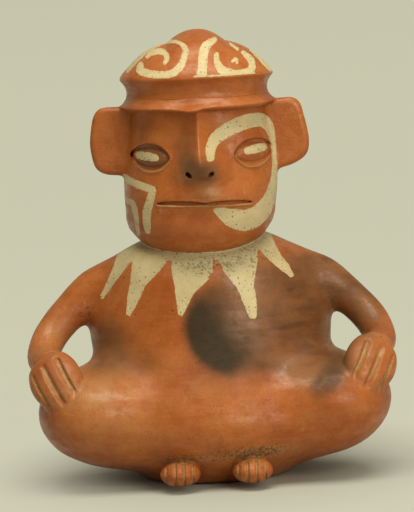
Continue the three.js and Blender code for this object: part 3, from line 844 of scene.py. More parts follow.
def paint_field(p):
    """Distance in millimetres from the edge of the cream paint, negative inside it."""
    x, y, z = p.T
    paint = filled(p, NO_PAINT)
    on_face = (y < HEAD_SEAM_Y - 1.0) & (z > 100.0) & (z < BROW_Z) & (np.abs(x) < HEAD_HALF_WIDTH + 2)
    face = strokes_field(x, z, (FACE_BAND,) + EYE_BARS + CHEEK_STROKES)
    paint = np.where(on_face, np.minimum(paint, face), paint)
    on_cap = (z > BRIM_Z + 0.3) & (y < HEAD_Y + BRIM_BACK + 2)
    paint = np.where(on_cap, np.minimum(paint, strokes_field(x, z, CAP_STROKES)), paint)
    return paint


def collar_field(p):
    """Distance from the edge of the painted collar, which runs under the jaw and down in points."""
    x, y, z = p.T
    points = strokes_field(x, z, COLLAR_POINTS)
    reach = np.where(y < HEAD_Y, 2.0 + 1.1 * np.sin(0.24 * x - 2.6) + 0.5 * np.sin(0.61 * x), 2.8)
    band = plain_head(p + vector((0.0, 0.0, COLLAR_DROP))) - reach
    return np.minimum(points, band)


# Soft oval spots of colour: how strong each is, where its middle is, and how far it spreads

CLOUD_CENTRE = (6.4, 65.2)
CLOUD_HALF = (16.4, 18.4)
CLOUD_SOFTNESS = 0.62
KNEE_SMOKE = 0.55
KNEE_SMOKE_CENTRE = (46.0, 42.5)
KNEE_SMOKE_HALF = (6.2, 8.5)
# Painted shade on the nose: its left side and the underside of its tip are darkened, the tip partly smoky as
# well.
NOSE_SMOKE_AND_SHADE = {
    "tip of the nose": (0.4, (0.8, -41.0, 129.5), (6.5, 12.0, 4.6)),
    "side of the nose": (0.2, (-7.0, -37.0, 134.0), (4.0, 10.0, 7.0)),
}
HAZE_AND_SHADE_SPOTS = {
    "round the cloud": (0.95, (10.0, -30.0, 69.0), (17.0, 40.0, 16.0)),
    "right of the chest": (0.95, (25.0, -20.0, 73.0), (17.0, 40.0, 17.0)),
    "right flank": (0.85, (38.0, -10.0, 61.0), (12.0, 40.0, 18.0)),
    "right shoulder": (0.8, (46.0, 0.0, 84.0), (14.0, 40.0, 8.0)),
    "right arm": (1.0, (61.0, -4.0, 68.0), (13.0, 40.0, 18.0)),
    "right thigh": (1.0, (46.0, -26.0, 46.0), (12.0, 30.0, 10.0)),
    "right of the lap": (0.7, (24.0, -30.0, 52.0), (15.0, 30.0, 8.0)),
    "left elbow": (0.95, (-43.0, -16.0, 56.0), (10.0, 40.0, 13.0)),
    "left of the lap": (0.4, (-27.0, -30.0, 51.0), (10.0, 30.0, 7.0)),
    "left wrist": (0.25, (-66.0, -25.0, 52.0), (12.0, 20.0, 12.0)),
    # Painted shade beside the nose under the brow, and under the tip of the nose.
    "side of the nose": (0.65, (-7.0, -36.0, 137.0), (5.5, 12.0, 11.0)),
    "tip of the nose": (0.95, (0.0, -40.0, 128.0), (8.0, 12.0, 5.5)),
    # Painted shade down the middle of the belly, keeping it darker than the thighs.
    "belly": (0.3, (-1.0, -45.0, 44.0), (17.0, 20.0, 10.0)),
}
# Painted shade inside the eye openings, stronger in the left eye.
EYE_SHADE_LEFT = 0.62
EYE_SHADE_RIGHT = 0.3
DIRT_AND_HIGHLIGHT_SPOTS = {
    "above the right foot": (0.7, (17.0, -46.0, 14.5), (17.0, 14.0, 2.6)),
    "above the left foot": (0.4, (-13.0, -46.0, 13.0), (13.0, 14.0, 2.0)),
    # Painted highlight on the top of the left knee, together with wear there.
    "left knee": (0.35, (-50.0, -40.0, 42.0), (16.0, 25.0, 8.0)),
    "left arm": (0.3, (-62.0, -8.0, 62.0), (10.0, 20.0, 8.0)),
    "left shin": (0.14, (-44.0, -46.0, 26.0), (22.0, 25.0, 12.0)),
    # Painted highlight: a pale sheen on the upper lip just under the nose.
    "under the nose": (0.5, (3.0, -38.0, 119.5), (4.5, 9.0, 3.3)),
}
# Painted highlights: pale lines along the lower lip and along the lower rims of the eyes.
LIP_HIGHLIGHT = 0.75
EYE_RIM_HIGHLIGHT = 0.5
HAND_DIRT = 0.06
GRIME_SPOTS = {
    "down the belly": (0.45, (0.5, -46.0, 30.0), (4.5, 30.0, 15.0)),
    "above the right foot": (0.95, (17.0, -46.0, 15.0), (16.0, 20.0, 3.0)),
    "above the left foot": (0.5, (-14.0, -46.0, 13.5), (12.0, 20.0, 2.5)),
    "under the jaw": (0.8, (2.0, -26.0, 90.0), (24.0, 20.0, 4.5)),
    "right of the neck": (0.5, (22.0, -18.0, 95.0), (12.0, 20.0, 5.0)),
    "right elbow": (0.7, (51.0, -4.0, 70.0), (5.0, 20.0, 5.0)),
    "left elbow": (0.7, (-51.0, -4.0, 70.0), (5.0, 20.0, 5.0)),
}
FOOT_GRIME = (0.6, (11.0, 14.0, 7.0))


def spot(p, centre, spread):
    """1 in the middle of a soft oval spot and 0 well outside it."""
    q = (p - vector(centre)) / vector(spread)
    return np.exp(-np.einsum("ij,ij->i", q, q))


def spots_field(p, spots):
    return sum(strength * spot(p, centre, spread) for strength, centre, spread in spots.values())


def smoke_and_shade_field(p):
    """Grey to black patches: fire clouds on the chest, darkest at its lower left, and on the right thigh;
    painted shade beside and under the nose, partly smoky under the tip.
    """
    x, y, z = p.T
    across, up = x - CLOUD_CENTRE[0], z - CLOUD_CENTRE[1]
    disc = np.hypot(across / CLOUD_HALF[0], up / CLOUD_HALF[1])
    fade = np.clip(1.08 - 0.046 * x + 0.026 * (60.0 - z), 0, 1.25)
    cloud = step_up(1.0 - disc, CLOUD_SOFTNESS) * fade * (y < 0)
    across, up = x - KNEE_SMOKE_CENTRE[0], z - KNEE_SMOKE_CENTRE[1]
    thigh = np.hypot((across - 0.62 * up) / KNEE_SMOKE_HALF[0], up / KNEE_SMOKE_HALF[1])
    knee = KNEE_SMOKE * step_up(1.0 - thigh, 1.0) * (y < -12)
    return np.clip(cloud + knee + spots_field(p, NOSE_SMOKE_AND_SHADE), 0, 1.2)


def haze_and_shade_field(p):
    """Brown smoky tone round the cloud, on the right arm and side; painted shade beside and under the nose,
    in the eyes and on the belly.
    """
    x, y, z = p.T
    # Painted shade in the eye recesses.
    near_eyes = (y < -14) & (z > 120) & (z < 148)
    eyes = np.where(x < 0, EYE_SHADE_LEFT, EYE_SHADE_RIGHT) * near_eyes * eye_opening(x, z)[4]
    return np.clip(spots_field(p, HAZE_AND_SHADE_SPOTS) + eyes, 0, 1)


def eye_rim_highlight(p):
    """1 along the lower rims of the eyes, where a pale line is painted as a highlight."""
    x, y, z = p.T
    along, across, _, lower, _ = eye_opening(x, z)
    on_face = step_up(EYE_HALF_LENGTH - np.abs(along), 1.5) * (y < -14) * (np.abs(z - EYE_Z) < 10)
    return on_face * soft_line(across - lower + 0.5, 0.4)


def lip_highlight(p):
    """1 along the lower edge of the mouth, where a pale line is painted as a highlight."""
    x, y, z = p.T
    on_lip = step_up(MOUTH_HALF_LENGTH - np.abs(x), 1.5) * (y < -15)
    return on_lip * soft_line(z - (MOUTH_Z - MOUTH_SLANT * x - 0.6), 0.45)


def dirt_and_highlight_field(p):
    """Pale soiling and wear: in the cuts, on the hands and knees, and along the lap, with painted highlights
    on the lower lip, the lower eye rims, the upper lip and the left knee.
    """
    dirt_and_highlights = spots_field(p, DIRT_AND_HIGHLIGHT_SPOTS) + LIP_HIGHLIGHT * lip_highlight(p) + EYE_RIM_HIGHLIGHT * eye_rim_highlight(p)
    for side in (-1, 1):
        along, across, _, out = in_hand(p, side)
        held = step_up(along + 4.5, 3.0) * step_up(9.5 - along, 3.0) * step_up(1.02 - out, 0.1)
        dirt_and_highlights = dirt_and_highlights + HAND_DIRT * step_up(1.1 - out, 0.2)
        for place, width, _ in HAND_GROOVES:
            dirt_and_highlights = dirt_and_highlights + held * soft_line(across - place - FINGER_SLANT * along, 0.8 * width)
        x, y, _ = (p - foot_centre(side)).T
        toes = step_up(-3.5 - y, 2.0) * step_up(10.0 - np.abs(x), 2.0) * step_up(14.0 - p[:, 2], 2.0)
        for place in TOE_GROOVES:
            dirt_and_highlights = dirt_and_highlights + toes * soft_line(x - place, 0.4)
    return np.clip(dirt_and_highlights, 0, 1)


def grime_field(p):
    """Dark specks and crust: down the belly, round the feet, under the jaw and in the elbows."""
    grime = spots_field(p, GRIME_SPOTS)
    strength, spread = FOOT_GRIME
    for side in (-1, 1):
        grime += strength * spot(p, foot_centre(side), spread)
    return np.clip(grime, 0, 1)


STAINS_AND_PAINTED_LIGHT = {"smoke_and_shade": smoke_and_shade_field, "haze_and_shade": haze_and_shade_field, "dirt_and_highlights": dirt_and_highlight_field, "grime": grime_field}


def dress(mesh, paint=paint_field):
    """Writes the paint, the fire clouds, the brown fire hazing, the soiling and the grime of every point for
    the materials to read, together with painted shade and painted highlights.
    """
    p = mesh_points(mesh)
    for name, field in (("paint", paint), *STAINS_AND_PAINTED_LIGHT.items()):
        values = field(p).astype(np.float32)
        mesh.attributes.new(name, "FLOAT", "POINT").data.foreach_set("value", values)


# Meshes

def scene_shape():
    return bpy.context.scene.bottle_shape


def skin(field, low, high, step):
    """Points and quads of the surface where the field is zero, looked for only near where it changes sign."""
    block = BLOCK_POINTS
    counts = [int(math.ceil((b - a) / step / block)) * block + 1 for a, b in zip(low, high)]
    axes = [a + step * np.arange(count, dtype=np.float32) for a, count in zip(low, counts)]
    coarse = np.stack(np.meshgrid(*[axis[::block] for axis in axes], indexing="ij"), axis=-1)
    rough = field(coarse.reshape(-1, 3).astype(np.float32)).reshape(coarse.shape[:3])
    close = np.abs(rough) < BLOCK_REACH * block * step
    near = np.zeros(np.array(rough.shape) - 1, dtype=bool)
    offsets = [(i, j, k) for i in (0, 1) for j in (0, 1) for k in (0, 1)]
    for offset in offsets:
        near |= close[tuple(slice(o, o + n) for o, n in zip(offset, near.shape))]
    spread = near.repeat(block, 0).repeat(block, 1).repeat(block, 2)
    wanted = np.zeros(counts, dtype=bool)
    for offset in offsets:
        wanted[tuple(slice(o, o + n) for o, n in zip(offset, spread.shape))] |= spread
    index = np.argwhere(wanted)
    places = vector(low) + np.float32(step) * index.astype(np.float32)
    values = np.full(counts, np.float32(3 * step))
    inside = np.sign(rough[:-1, :-1, :-1]).repeat(block, 0).repeat(block, 1).repeat(block, 2)
    values[:-1, :-1, :-1] *= inside
    values[wanted] = np.clip(field(places), -3 * step, 3 * step)
    volume = openvdb.FloatGrid(float(3 * step))
    volume.copyFromArray(values.astype(np.float32))
    points, quads = volume.convertToQuads(isovalue=0.0)
    points = points * np.float32(step) + vector(low)
    return settle(field, points), quads


def settle(field, points):
    """Moves points onto the zero surface of the field."""
    level, slope = level_and_slope(field, points, SETTLE_STEP)
    steep = np.maximum(np.einsum("ij,ij->i", slope, slope), LEAST_STEEPNESS)
    return points - np.clip(slope * (level / steep)[:, None], -LONGEST_MOVE, LONGEST_MOVE)


def mesh_of(name, points, quads):
    mesh = bpy.data.meshes.new(name)
    mesh.vertices.add(len(points))
    mesh.vertices.foreach_set("co", (points * np.float32(MM)).ravel())
    mesh.loops.add(4 * len(quads))
    mesh.loops.foreach_set("vertex_index", quads.astype(np.int32).ravel())
    mesh.polygons.add(len(quads))
    mesh.polygons.foreach_set("loop_start", np.arange(0, 4 * len(quads), 4, dtype=np.int32))
    mesh.update(calc_edges=True)
    mesh.validate()
    return mesh


def halves(mesh, place, across):
    """The two sides of a closed mesh cut by a plane, each closed by a flat face."""
    made = []
    for keep_back in (False, True):
        work = bmesh.new()
        work.from_mesh(mesh)
        bmesh.ops.bisect_plane(
            work,
            geom=work.verts[:] + work.edges[:] + work.faces[:],
            plane_co=Vector(place) * MM,
            plane_no=Vector(across),
            clear_inner=keep_back,
            clear_outer=not keep_back,
        )
        rim = [edge for edge in work.edges if edge.is_boundary]
        bmesh.ops.triangle_fill(work, edges=rim, use_beauty=True, use_dissolve=False)
        bmesh.ops.recalc_face_normals(work, faces=work.faces[:])
        half = bpy.data.meshes.new(mesh.name)
        work.to_mesh(half)
        work.free()
        made.append(half)
    return made


def mesh_points(mesh):
    flat = np.empty(3 * len(mesh.vertices), dtype=np.float32)
    mesh.vertices.foreach_get("co", flat)
    return flat.reshape(-1, 3) / np.float32(MM)


def shade(mesh, field, plane=None):
    """Normals from the field, but flat faces where the mesh was cut by a plane."""
    normals = level_and_slope(field, mesh_points(mesh), NORMAL_STEP)[1]
    normals /= np.maximum(np.linalg.norm(normals, axis=1), 1e-6)[:, None]
    corners = np.empty(len(mesh.loops), dtype=np.int32)
    mesh.loops.foreach_get("vertex_index", corners)
    corner_normals = normals[corners]
    if plane is not None:
        place, across = plane
        centres = np.empty(3 * len(mesh.polygons), dtype=np.float32)
        flats = np.empty(3 * len(mesh.polygons), dtype=np.float32)
        totals = np.empty(len(mesh.polygons), dtype=np.int32)
        mesh.polygons.foreach_get("center", centres)
        mesh.polygons.foreach_get("normal", flats)
        mesh.polygons.foreach_get("loop_total", totals)
        off = (centres.reshape(-1, 3) / MM - np.array(place)) @ np.array(across)
        face_normals = np.repeat(flats.reshape(-1, 3), totals, axis=0)
        on_plane = np.repeat(np.abs(off) < ON_PLANE, totals)
        facing = np.einsum("ij,ij->i", face_normals, corner_normals) > 0.0
        corner_normals = np.where((on_plane | ~facing)[:, None], face_normals, corner_normals)
    mesh.polygons.foreach_set("use_smooth", [True] * len(mesh.polygons))
    mesh.normals_split_custom_set(corner_normals.tolist())


def show(mesh, node, material):
    """Puts a finished mesh in the scene in place of the solid model's node."""
    piece = bpy.data.objects.new(node + "_surface", mesh)
    bpy.context.scene.collection.objects.link(piece)
    mesh.materials.clear()
    mesh.materials.append(material)
    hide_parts(node)
    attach(piece, BODY)


def add_form(form_name, step, spaces=(), carrier=None, depth=4.0):
    """Field, points and quads of a form with its hollow spaces, which ends at a depth in its carrier."""
    form = next(form for form in FORMS if form.name == form_name)

    def field(p):
        clay = clay_field(p, form_name)
        for space in spaces:
            clay = cut_out(clay, space(p))
        if carrier is not None:
            clay = cut_out(clay, carrier(p) + depth)
        return clay

    low, high = form_box(form, MESH_MARGIN)
    points, quads = skin(field, low, high, step)
    return field, points, quads


def add_whole(form_name, step, slot=SLIP_SLOT, **rest):
    field, points, quads = add_form(form_name, step, **rest)
    mesh = mesh_of(form_name, points, quads)
    shade(mesh, field)
    dress(mesh)
    show(mesh, form_name, slip_material())


def add_halves(form_name, nodes, step, plane, paint=paint_field, **rest):
    field, points, quads = add_form(form_name, step, **rest)
    whole = mesh_of(form_name, points, quads)
    for node, mesh in zip(nodes, halves(whole, *plane)):
        shade(mesh, field, plane)
        dress(mesh, paint)
        show(mesh, node, slip_material())
    bpy.data.meshes.remove(whole)


# Materials

class Value:
    """What a socket gives out, which can be added to and multiplied as a number can."""

    def __init__(self, w, socket):
        self.w = w
        self.socket = socket

    def __add__(self, other):
        return self.w.math("ADD", self, other)

    def __sub__(self, other):
        return self.w.math("SUBTRACT", self, other)

    def __rsub__(self, other):
        return self.w.math("SUBTRACT", other, self)

    def __mul__(self, other):
        return self.w.math("MULTIPLY", self, other)


class Wiring:
    """Adds nodes to a tree and links values into them; place is where each point of the surface is."""

    def __init__(self, tree, place_node, place_output):
        self.tree = tree
        self.place = self.out(tree.nodes.new(place_node), place_output)

    def node(self, kind, settings=None, **inputs):
        made = self.tree.nodes.new(kind)
        for name, value in (settings or {}).items():
            setattr(made, name, value)
        self.give(made, **inputs)
        return made

    def give(self, node, **inputs):
        for name, value in inputs.items():
            self.feed(node.inputs[name.replace("_", " ")], value)

    def feed(self, socket, value):
        if isinstance(value, Value):
            self.tree.links.new(value.socket, socket)
        else:
            socket.default_value = value

    def out(self, node, output=0):
        return Value(self, node.outputs[output])

    def math(self, operation, *values):
        made = self.node("ShaderNodeMath", {"operation": operation})
        for socket, value in zip(made.inputs, values):
            self.feed(socket, value)
        return self.out(made)

    def largest(self, value, *others):
        for other in others:
            value = self.math("MAXIMUM", value, other)
        return value

    def ramp(self, value, low, high, to_low=0.0, to_high=1.0):
        made = self.node("ShaderNodeMapRange", {"interpolation_type": "SMOOTHSTEP"})
        for socket, given in zip(made.inputs, (value, low, high, to_low, to_high)):
            self.feed(socket, given)
        return self.out(made)

    def mix(self, share, a, b):
        made = self.node("ShaderNodeMix", {"data_type": "RGBA"})
        self.feed(made.inputs[0], share)
        for socket, colour in zip((made.inputs[6], made.inputs[7]), (a, b)):
            self.feed(socket, colour if isinstance(colour, Value) else (*colour, 1.0))
        return self.out(made, 2)

    def noise(self, scale, detail, roughness=0.55, place=None):
        inputs = {"Vector": place or self.place, "Scale": scale, "Detail": detail, "Roughness": roughness}
        return self.out(self.node("ShaderNodeTexNoise", **inputs))

    def moved(self, **inputs):
        return self.out(self.node("ShaderNodeMapping", Vector=self.place, **inputs))

    def bump(self, height, distance):
        return self.out(self.node("ShaderNodeBump", Height=height, Distance=distance, Strength=0.8))

    def attribute(self, name):
        return self.out(self.node("ShaderNodeAttribute", {"attribute_name": name}), "Fac")

    def group(self, name, **inputs):
        """Adds a shared node group, built when it is first used, and gives its outputs in order."""
        tree = bpy.data.node_groups.get(name) or NODE_GROUPS[name]()
        made = self.node("ShaderNodeGroup", {"node_tree": tree}, Vector=self.place, **inputs)
        return [Value(self, socket) for socket in made.outputs]

    def pits(self, scale, density, size):
        return self.group("Pits and Specks", Scale=scale, Density=density, Size=size)[0]


def new_group(name, inputs, outputs):
    """Wiring of a new node group, its inputs apart from the vector, and the node that takes its outputs."""
    group = bpy.data.node_groups.new(name, "ShaderNodeTree")
    group.interface.new_socket("Vector", in_out="INPUT", socket_type="NodeSocketVector")
    for label, default in inputs.items():
        socket = group.interface.new_socket(label, in_out="INPUT", socket_type="NodeSocketFloat")
        socket.default_value = default
    for label in outputs:
        group.interface.new_socket(label, in_out="OUTPUT", socket_type="NodeSocketFloat")
    w = Wiring(group, "NodeGroupInput", "Vector")
    given = [Value(w, w.place.socket.node.outputs[label]) for label in inputs]
    return w, given, group.nodes.new("NodeGroupOutput")


def brushed_edge():
    """A brushed edge: ragged, a little worn and never quite sharp."""
    w, given, result = new_group(
        "Brushed Edge", {"Distance": 1.0, "Ragged": 0.35, "Wear": 0.5}, ("Mask", "Height"),
    )
    distance, ragged, wear = given
    slow = w.noise(420.0, 3.0) - 0.5
    fast = w.noise(1700.0, 3.0, 0.65) - 0.5
    moved = distance + (slow * 2.6 + fast * 1.5) * ragged
    near = w.ramp(distance, -2.4, 0.0, 0.0, 0.16)
    lost = w.ramp(w.noise(900.0, 6.0, 0.75) + near * wear, 0.6, 0.68)
    mask = w.ramp(moved, 0.14, -0.14) * (1.0 - lost * wear)
    w.give(result, Mask=mask, Height=w.ramp(moved, 0.3, -0.3))
    return w.tree


def pits_and_specks():
    """Small dark pits and specks, more of them where the density is higher."""
    w, given, result = new_group("Pits and Specks", {"Scale": 500.0, "Density": 0.3, "Size": 0.3}, ("Mask",))
    scale, density, size = given
    cells = w.node("ShaderNodeTexVoronoi", Vector=w.place, Scale=scale)
    here = w.node("ShaderNodeSeparateColor", Color=w.out(cells, "Color"))
    chosen = w.math("LESS_THAN", w.out(here, 0), density)
    width = size * (w.out(here, 1) + 0.35)
    core = w.ramp(w.out(cells, "Distance"), width, width * 0.45)
    w.give(result, Mask=chosen * core)
    return w.tree


def burnished_tone():
    """Slow changes of tone, and long faint marks and scratches of the burnishing stone."""
    w, given, result = new_group(
        "Burnished Tone", {"Tone Scale": 45.0, "Streak Scale": 260.0}, ("Tone", "Streak", "Scratch"),
    )
    tone_scale, streak_scale = given
    bent = w.moved(Scale=(0.22, 0.22, 1.0), Rotation=(0.12, 0.08, 0.0))
    fine = w.moved(Scale=(0.35, 0.35, 0.09), Rotation=(0.3, 0.5, 0.2))
    w.give(
        result,
        Tone=w.ramp(w.noise(tone_scale, 5.0, 0.6), 0.3, 0.7),
        Streak=w.ramp(w.noise(streak_scale, 4.0, 0.6, bent), 0.32, 0.68),
        Scratch=w.ramp(w.noise(streak_scale * 9.0, 2.0, 0.5, fine), 0.66, 0.78),
    )
    return w.tree


NODE_GROUPS = {
    "Brushed Edge": brushed_edge,
    "Pits and Specks": pits_and_specks,
    "Burnished Tone": burnished_tone,
}


def new_material(name):
    material = bpy.data.materials.new(name)
    material.use_nodes = True
    material.node_tree.nodes.clear()
    return material, Wiring(material.node_tree, "ShaderNodeTexCoord", "Object")


def close_material(w, **inputs):
    """Ends a material with one shader that has these inputs."""
    shader = w.out(w.node("ShaderNodeBsdfPrincipled", **inputs))
    w.node("ShaderNodeOutputMaterial", Surface=shader)


def tinted(colour, factor):
    return tuple(min(channel * share, 1.0) for channel, share in zip(colour, factor))


SCRATCH_COLOUR = (0.5, 0.27, 0.11)
# Pale tan for soiling and wear, also used for painted highlights.
SOIL_AND_HIGHLIGHT_COLOUR = (0.43, 0.28, 0.13)
SPECK_COLOUR = (0.11, 0.075, 0.035)
CRUST_COLOUR = (0.075, 0.05, 0.022)
STAIN_COLOUR = (0.21, 0.165, 0.085)
PIT_COLOUR = (0.06, 0.035, 0.018)


def slip_material():
    """Burnished red slip with cream paint, fire clouds, soiling in the cuts and small pits, and with painted
    shade and painted highlights.
    """
    if bpy.data.materials.get("Burnished slip"):
        return bpy.data.materials["Burnished slip"]
    colours = bpy.context.scene.bottle_colours
    slip = tuple(colours.slip)
    cream = tuple(colours.cream)
    material, w = new_material("Burnished slip")
    tone, streak, scratch = w.group("Burnished Tone")
    mottle = w.ramp(w.noise(240.0, 6.0, 0.72), 0.42, 0.7)
    grain = w.ramp(w.noise(1500.0, 4.0, 0.7), 0.35, 0.65)
    red = w.mix(tone, tinted(slip, (0.8, 0.76, 0.9)), tinted(slip, (1.14, 1.45, 2.1)))
    red = w.mix(streak * 0.35, red, tinted(slip, (1.2, 1.75, 2.9)))
    red = w.mix(mottle * 0.4, red, tinted(slip, (0.66, 0.56, 0.6)))
    red = w.mix(grain * 0.3, red, tinted(slip, (0.72, 0.66, 0.7)))
    red = w.mix(scratch * 0.4, red, SCRATCH_COLOUR)
    brown = w.mix(tone, (0.1, 0.034, 0.012), (0.235, 0.095, 0.036))
    brown = w.mix(streak * 0.4, brown, (0.3, 0.1, 0.024))
    uneven = (w.noise(95.0, 6.0, 0.65) - 0.5) * 1.3
    # The brown and the fire-cloud masks also hold painted shade on the nose, in the eyes and on the belly.
    haze_and_shade = w.ramp(w.attribute("haze_and_shade") + uneven * 0.4, 0.06, 0.85)
    smoke_and_shade = w.ramp(w.attribute("smoke_and_shade") + uneven * 0.3, 0.02, 1.0)
    ash_and_shade = w.mix(w.noise(620.0, 5.0, 0.7), tuple(colours.smoke_and_shade), tinted(colours.smoke_and_shade, (2.0, 2.1, 2.2)))
    dirt_and_highlights = w.attribute("dirt_and_highlights")
    # The pale tan is soiling and wear, and also painted highlights on the lips, the lower eye rims and the
    # left knee.
    soil_and_highlights = dirt_and_highlights * w.ramp(w.noise(380.0, 6.0, 0.7), 0.28, 0.55)
    red = w.mix(haze_and_shade, red, brown)
    red = w.mix(smoke_and_shade * 0.96, red, ash_and_shade)
    red = w.mix(soil_and_highlights, red, SOIL_AND_HIGHLIGHT_COLOUR)
    painted, raised = w.group("Brushed Edge", Distance=w.attribute("paint"))
    specks = w.pits(820.0, 0.3, 0.34)
    pale_tone = w.noise(160.0, 5.0, 0.65)
    pale = w.mix(pale_tone, tinted(cream, (0.72, 0.68, 0.58)), tinted(cream, (1.12, 1.12, 1.1)))
    pale = w.mix(specks * 0.75, pale, SPECK_COLOUR)
    grime = w.attribute("grime")
    crust = w.ramp(w.noise(850.0, 6.0, 0.75) + grime * 0.22, 0.64, 0.74) * w.math("MINIMUM", grime * 3.0, 1.0)
    pits = w.largest(w.pits(260.0, 0.05, 0.13) * 0.8, w.pits(900.0, 0.12, 0.26) * 0.4)
    whole = w.mix(painted, red, pale)
    whole = w.mix(crust * 0.75, whole, CRUST_COLOUR)
    whole = w.mix(grime * painted * 0.75, whole, STAIN_COLOUR)
    whole = w.mix(pits * 0.8, whole, PIT_COLOUR)
    rough = painted * 0.2 + mottle * 0.12 + tone * 0.08 + w.largest(soil_and_highlights, pits, crust) * 0.3
    height = streak * 0.55 + raised * 0.4 - (mottle + scratch) * 0.3 - (grain + crust) * 0.25
    gloss = (1.0 - smoke_and_shade) * (1.0 - mottle) * (1.0 - w.largest(soil_and_highlights, dirt_and_highlights))
    close_material(
        w,
        Base_Color=whole,
        Roughness=rough + grain * 0.07 + smoke_and_shade * 0.25 + 0.35,
        Normal=w.bump(height - w.largest(pits, specks) * 0.8, 0.00012),
        Specular_IOR_Level=0.28,
        Coat_Weight=gloss * w.ramp(streak, 0.2, 0.9, 0.12, 0.4),
        Coat_Roughness=0.2,
    )
    return material


def bare_clay_material():
    """Unslipped clay of the underside, dry and gritty."""
    if bpy.data.materials.get("Bare clay"):
        return bpy.data.materials["Bare clay"]
    bare = tuple(bpy.context.scene.bottle_colours.bare)
    material, w = new_material("Bare clay")
    grain = w.noise(700.0, 6.0, 0.7)
    patch = w.noise(60.0, 5.0, 0.6)
    pits = w.pits(420.0, 0.3, 0.28)
    clay = w.mix(patch, tinted(bare, (0.7, 0.66, 0.6)), tinted(bare, (1.2, 1.25, 1.3)))
    clay = w.mix(w.ramp(grain, 0.5, 0.75, 0.0, 0.4), clay, tinted(bare, (0.5, 0.45, 0.4)))
    close_material(
        w,
        Base_Color=w.mix(pits * 0.6, clay, (0.06, 0.035, 0.02)),
        Roughness=w.ramp(grain, 0.3, 0.7, 0.62, 0.85),
        Normal=w.bump(grain - pits, 0.0003),
    )
    return material


def floor_material(colour):
    """Pale paper that takes the shadow near the bottle; further off the camera sees it glow, with painted
    shade that darkens it higher up.
    """
    material, w = new_material("Pale paper")
    matt = {"Roughness": 0.9, "Specular IOR Level": 0.1}
    paper = w.node("ShaderNodeBsdfPrincipled", Base_Color=(*colour, 1.0), **matt)
    parts = w.node("ShaderNodeSeparateXYZ", Vector=w.place)
    wide = w.moved(Location=(-0.01, -0.018, 0.0), Scale=(1.3, 1.0, 1.0))
    away = w.out(w.node("ShaderNodeVectorMath", {"operation": "LENGTH"}, Vector=wide), "Value")
    sight = w.node("ShaderNodeLightPath")
    seen = w.largest(w.out(sight, "Is Camera Ray"), w.out(sight, "Is Glossy Ray"))
    near = w.mix(w.ramp(w.out(parts, 1), -0.1, 0.4), (0.64, 0.62, 0.47), (0.635, 0.63, 0.46))
    # Painted shade: the glow is darker higher up the backdrop.
    tone = w.mix(w.ramp(w.out(parts, 2), 0.0, 0.8), near, (0.42, 0.42, 0.3))
    mixed = w.node("ShaderNodeMixShader", Fac=w.ramp(away, 0.052, 0.155, 0.0, 0.9) * seen)
    w.feed(mixed.inputs[1], w.out(paper))
    w.feed(mixed.inputs[2], w.out(w.node("ShaderNodeEmission", Color=tone)))
    w.node("ShaderNodeOutputMaterial", Surface=w.out(mixed))
    return material


# Hollows, bores and carriers: functions of points that are negative inside

def wall_mm():
    return scene_shape().wall / MM


def body_hollow(p):
    inside = np.maximum(body_form(p) + wall_mm(), BASE_THICKNESS - p[:, 2])
    opening = np.hypot(p[:, 0], p[:, 1]) - BASE_RADIUS - BASE_PLAY
    return np.minimum(inside, np.maximum(opening, p[:, 2] - BASE_THICKNESS - wall_mm()))


def neck_bore(p):
    reach = np.abs(p[:, 2] - HEAD_FOOT) - NECK_BORE_REACH
    return np.maximum(np.hypot(p[:, 0], p[:, 1] - HEAD_Y) - NECK_BORE_RADIUS, reach)


def stirrup_bore(p):
    return stirrup_field(p, STIRRUP_BORE)


def head_hollow(p):
    z = p[:, 2]
    ends = np.maximum(z - HEAD_TOP + wall_mm(), HEAD_FOOT + wall_mm() - z)
    return np.maximum(plain_head(p) + wall_mm(), ends)


def cap_hollow(p):
    inside = cap_field(p + vector((0.0, 0.0, 1.0))) + wall_mm() - 1.0
    return np.maximum(inside, HEAD_TOP + 0.5 - p[:, 2])


def body_and_head(p):
    return np.minimum(body_form(p), plain_head(p))


# Operators, one for each piece or group of like pieces

class BottleOperator:
    bl_options = {"REGISTER", "UNDO"}

    def execute(self, context):
        self.build()
        return {"FINISHED"}

    def fine(self, factor):
        return scene_shape().fineness / MM * factor


class OBJECT_OT_bottle_body(BottleOperator, Operator):
    """Front and back halves of the hollow body with its folded legs"""
    bl_idname = "object.bottle_body"
    bl_label = "Body"

    def build(self):
        plane = ((0.0, BODY_SEAM_Y, 0.0), (0.0, 1.0, 0.0))
        spaces = (body_hollow, neck_bore, stirrup_bore)
        nodes = ("body_front_shell", "body_back_shell")
        add_halves("body", nodes, self.fine(2.0), plane, paint=collar_field, spaces=spaces)


class OBJECT_OT_bottle_base(BottleOperator, Operator):
    """Flat disc that closes the underside"""
    bl_idname = "object.bottle_base"
    bl_label = "Base"

    def build(self):
        low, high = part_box("base_disc")
        points, quads = skin(base_field, np.array(low) / MM - 2, np.array(high) / MM + 2, self.fine(1.8))
        mesh = mesh_of("base_disc", points, quads)
        shade(mesh, base_field)
        show(mesh, "base_disc", bare_clay_material())


class OBJECT_OT_bottle_head(BottleOperator, Operator):
    """Face and back halves of the hollow head"""
    bl_idname = "object.bottle_head"
    bl_label = "Head"

    def build(self):
        plane = ((0.0, HEAD_SEAM_Y, 0.0), (0.0, 1.0, 0.0))
        spaces = (head_hollow, neck_bore, stirrup_bore)
        nodes = ("face_shell", "head_back_shell")
        add_halves("head", nodes, self.fine(1.15), plane, spaces=spaces, carrier=body_form)


class OBJECT_OT_bottle_cap(BottleOperator, Operator):
    """Cap with its flared neck, sharp brim and ridged dome"""
    bl_idname = "object.bottle_cap"
    bl_label = "Cap"

    def build(self):
        add_whole("cap", self.fine(1.15), spaces=(cap_hollow,))


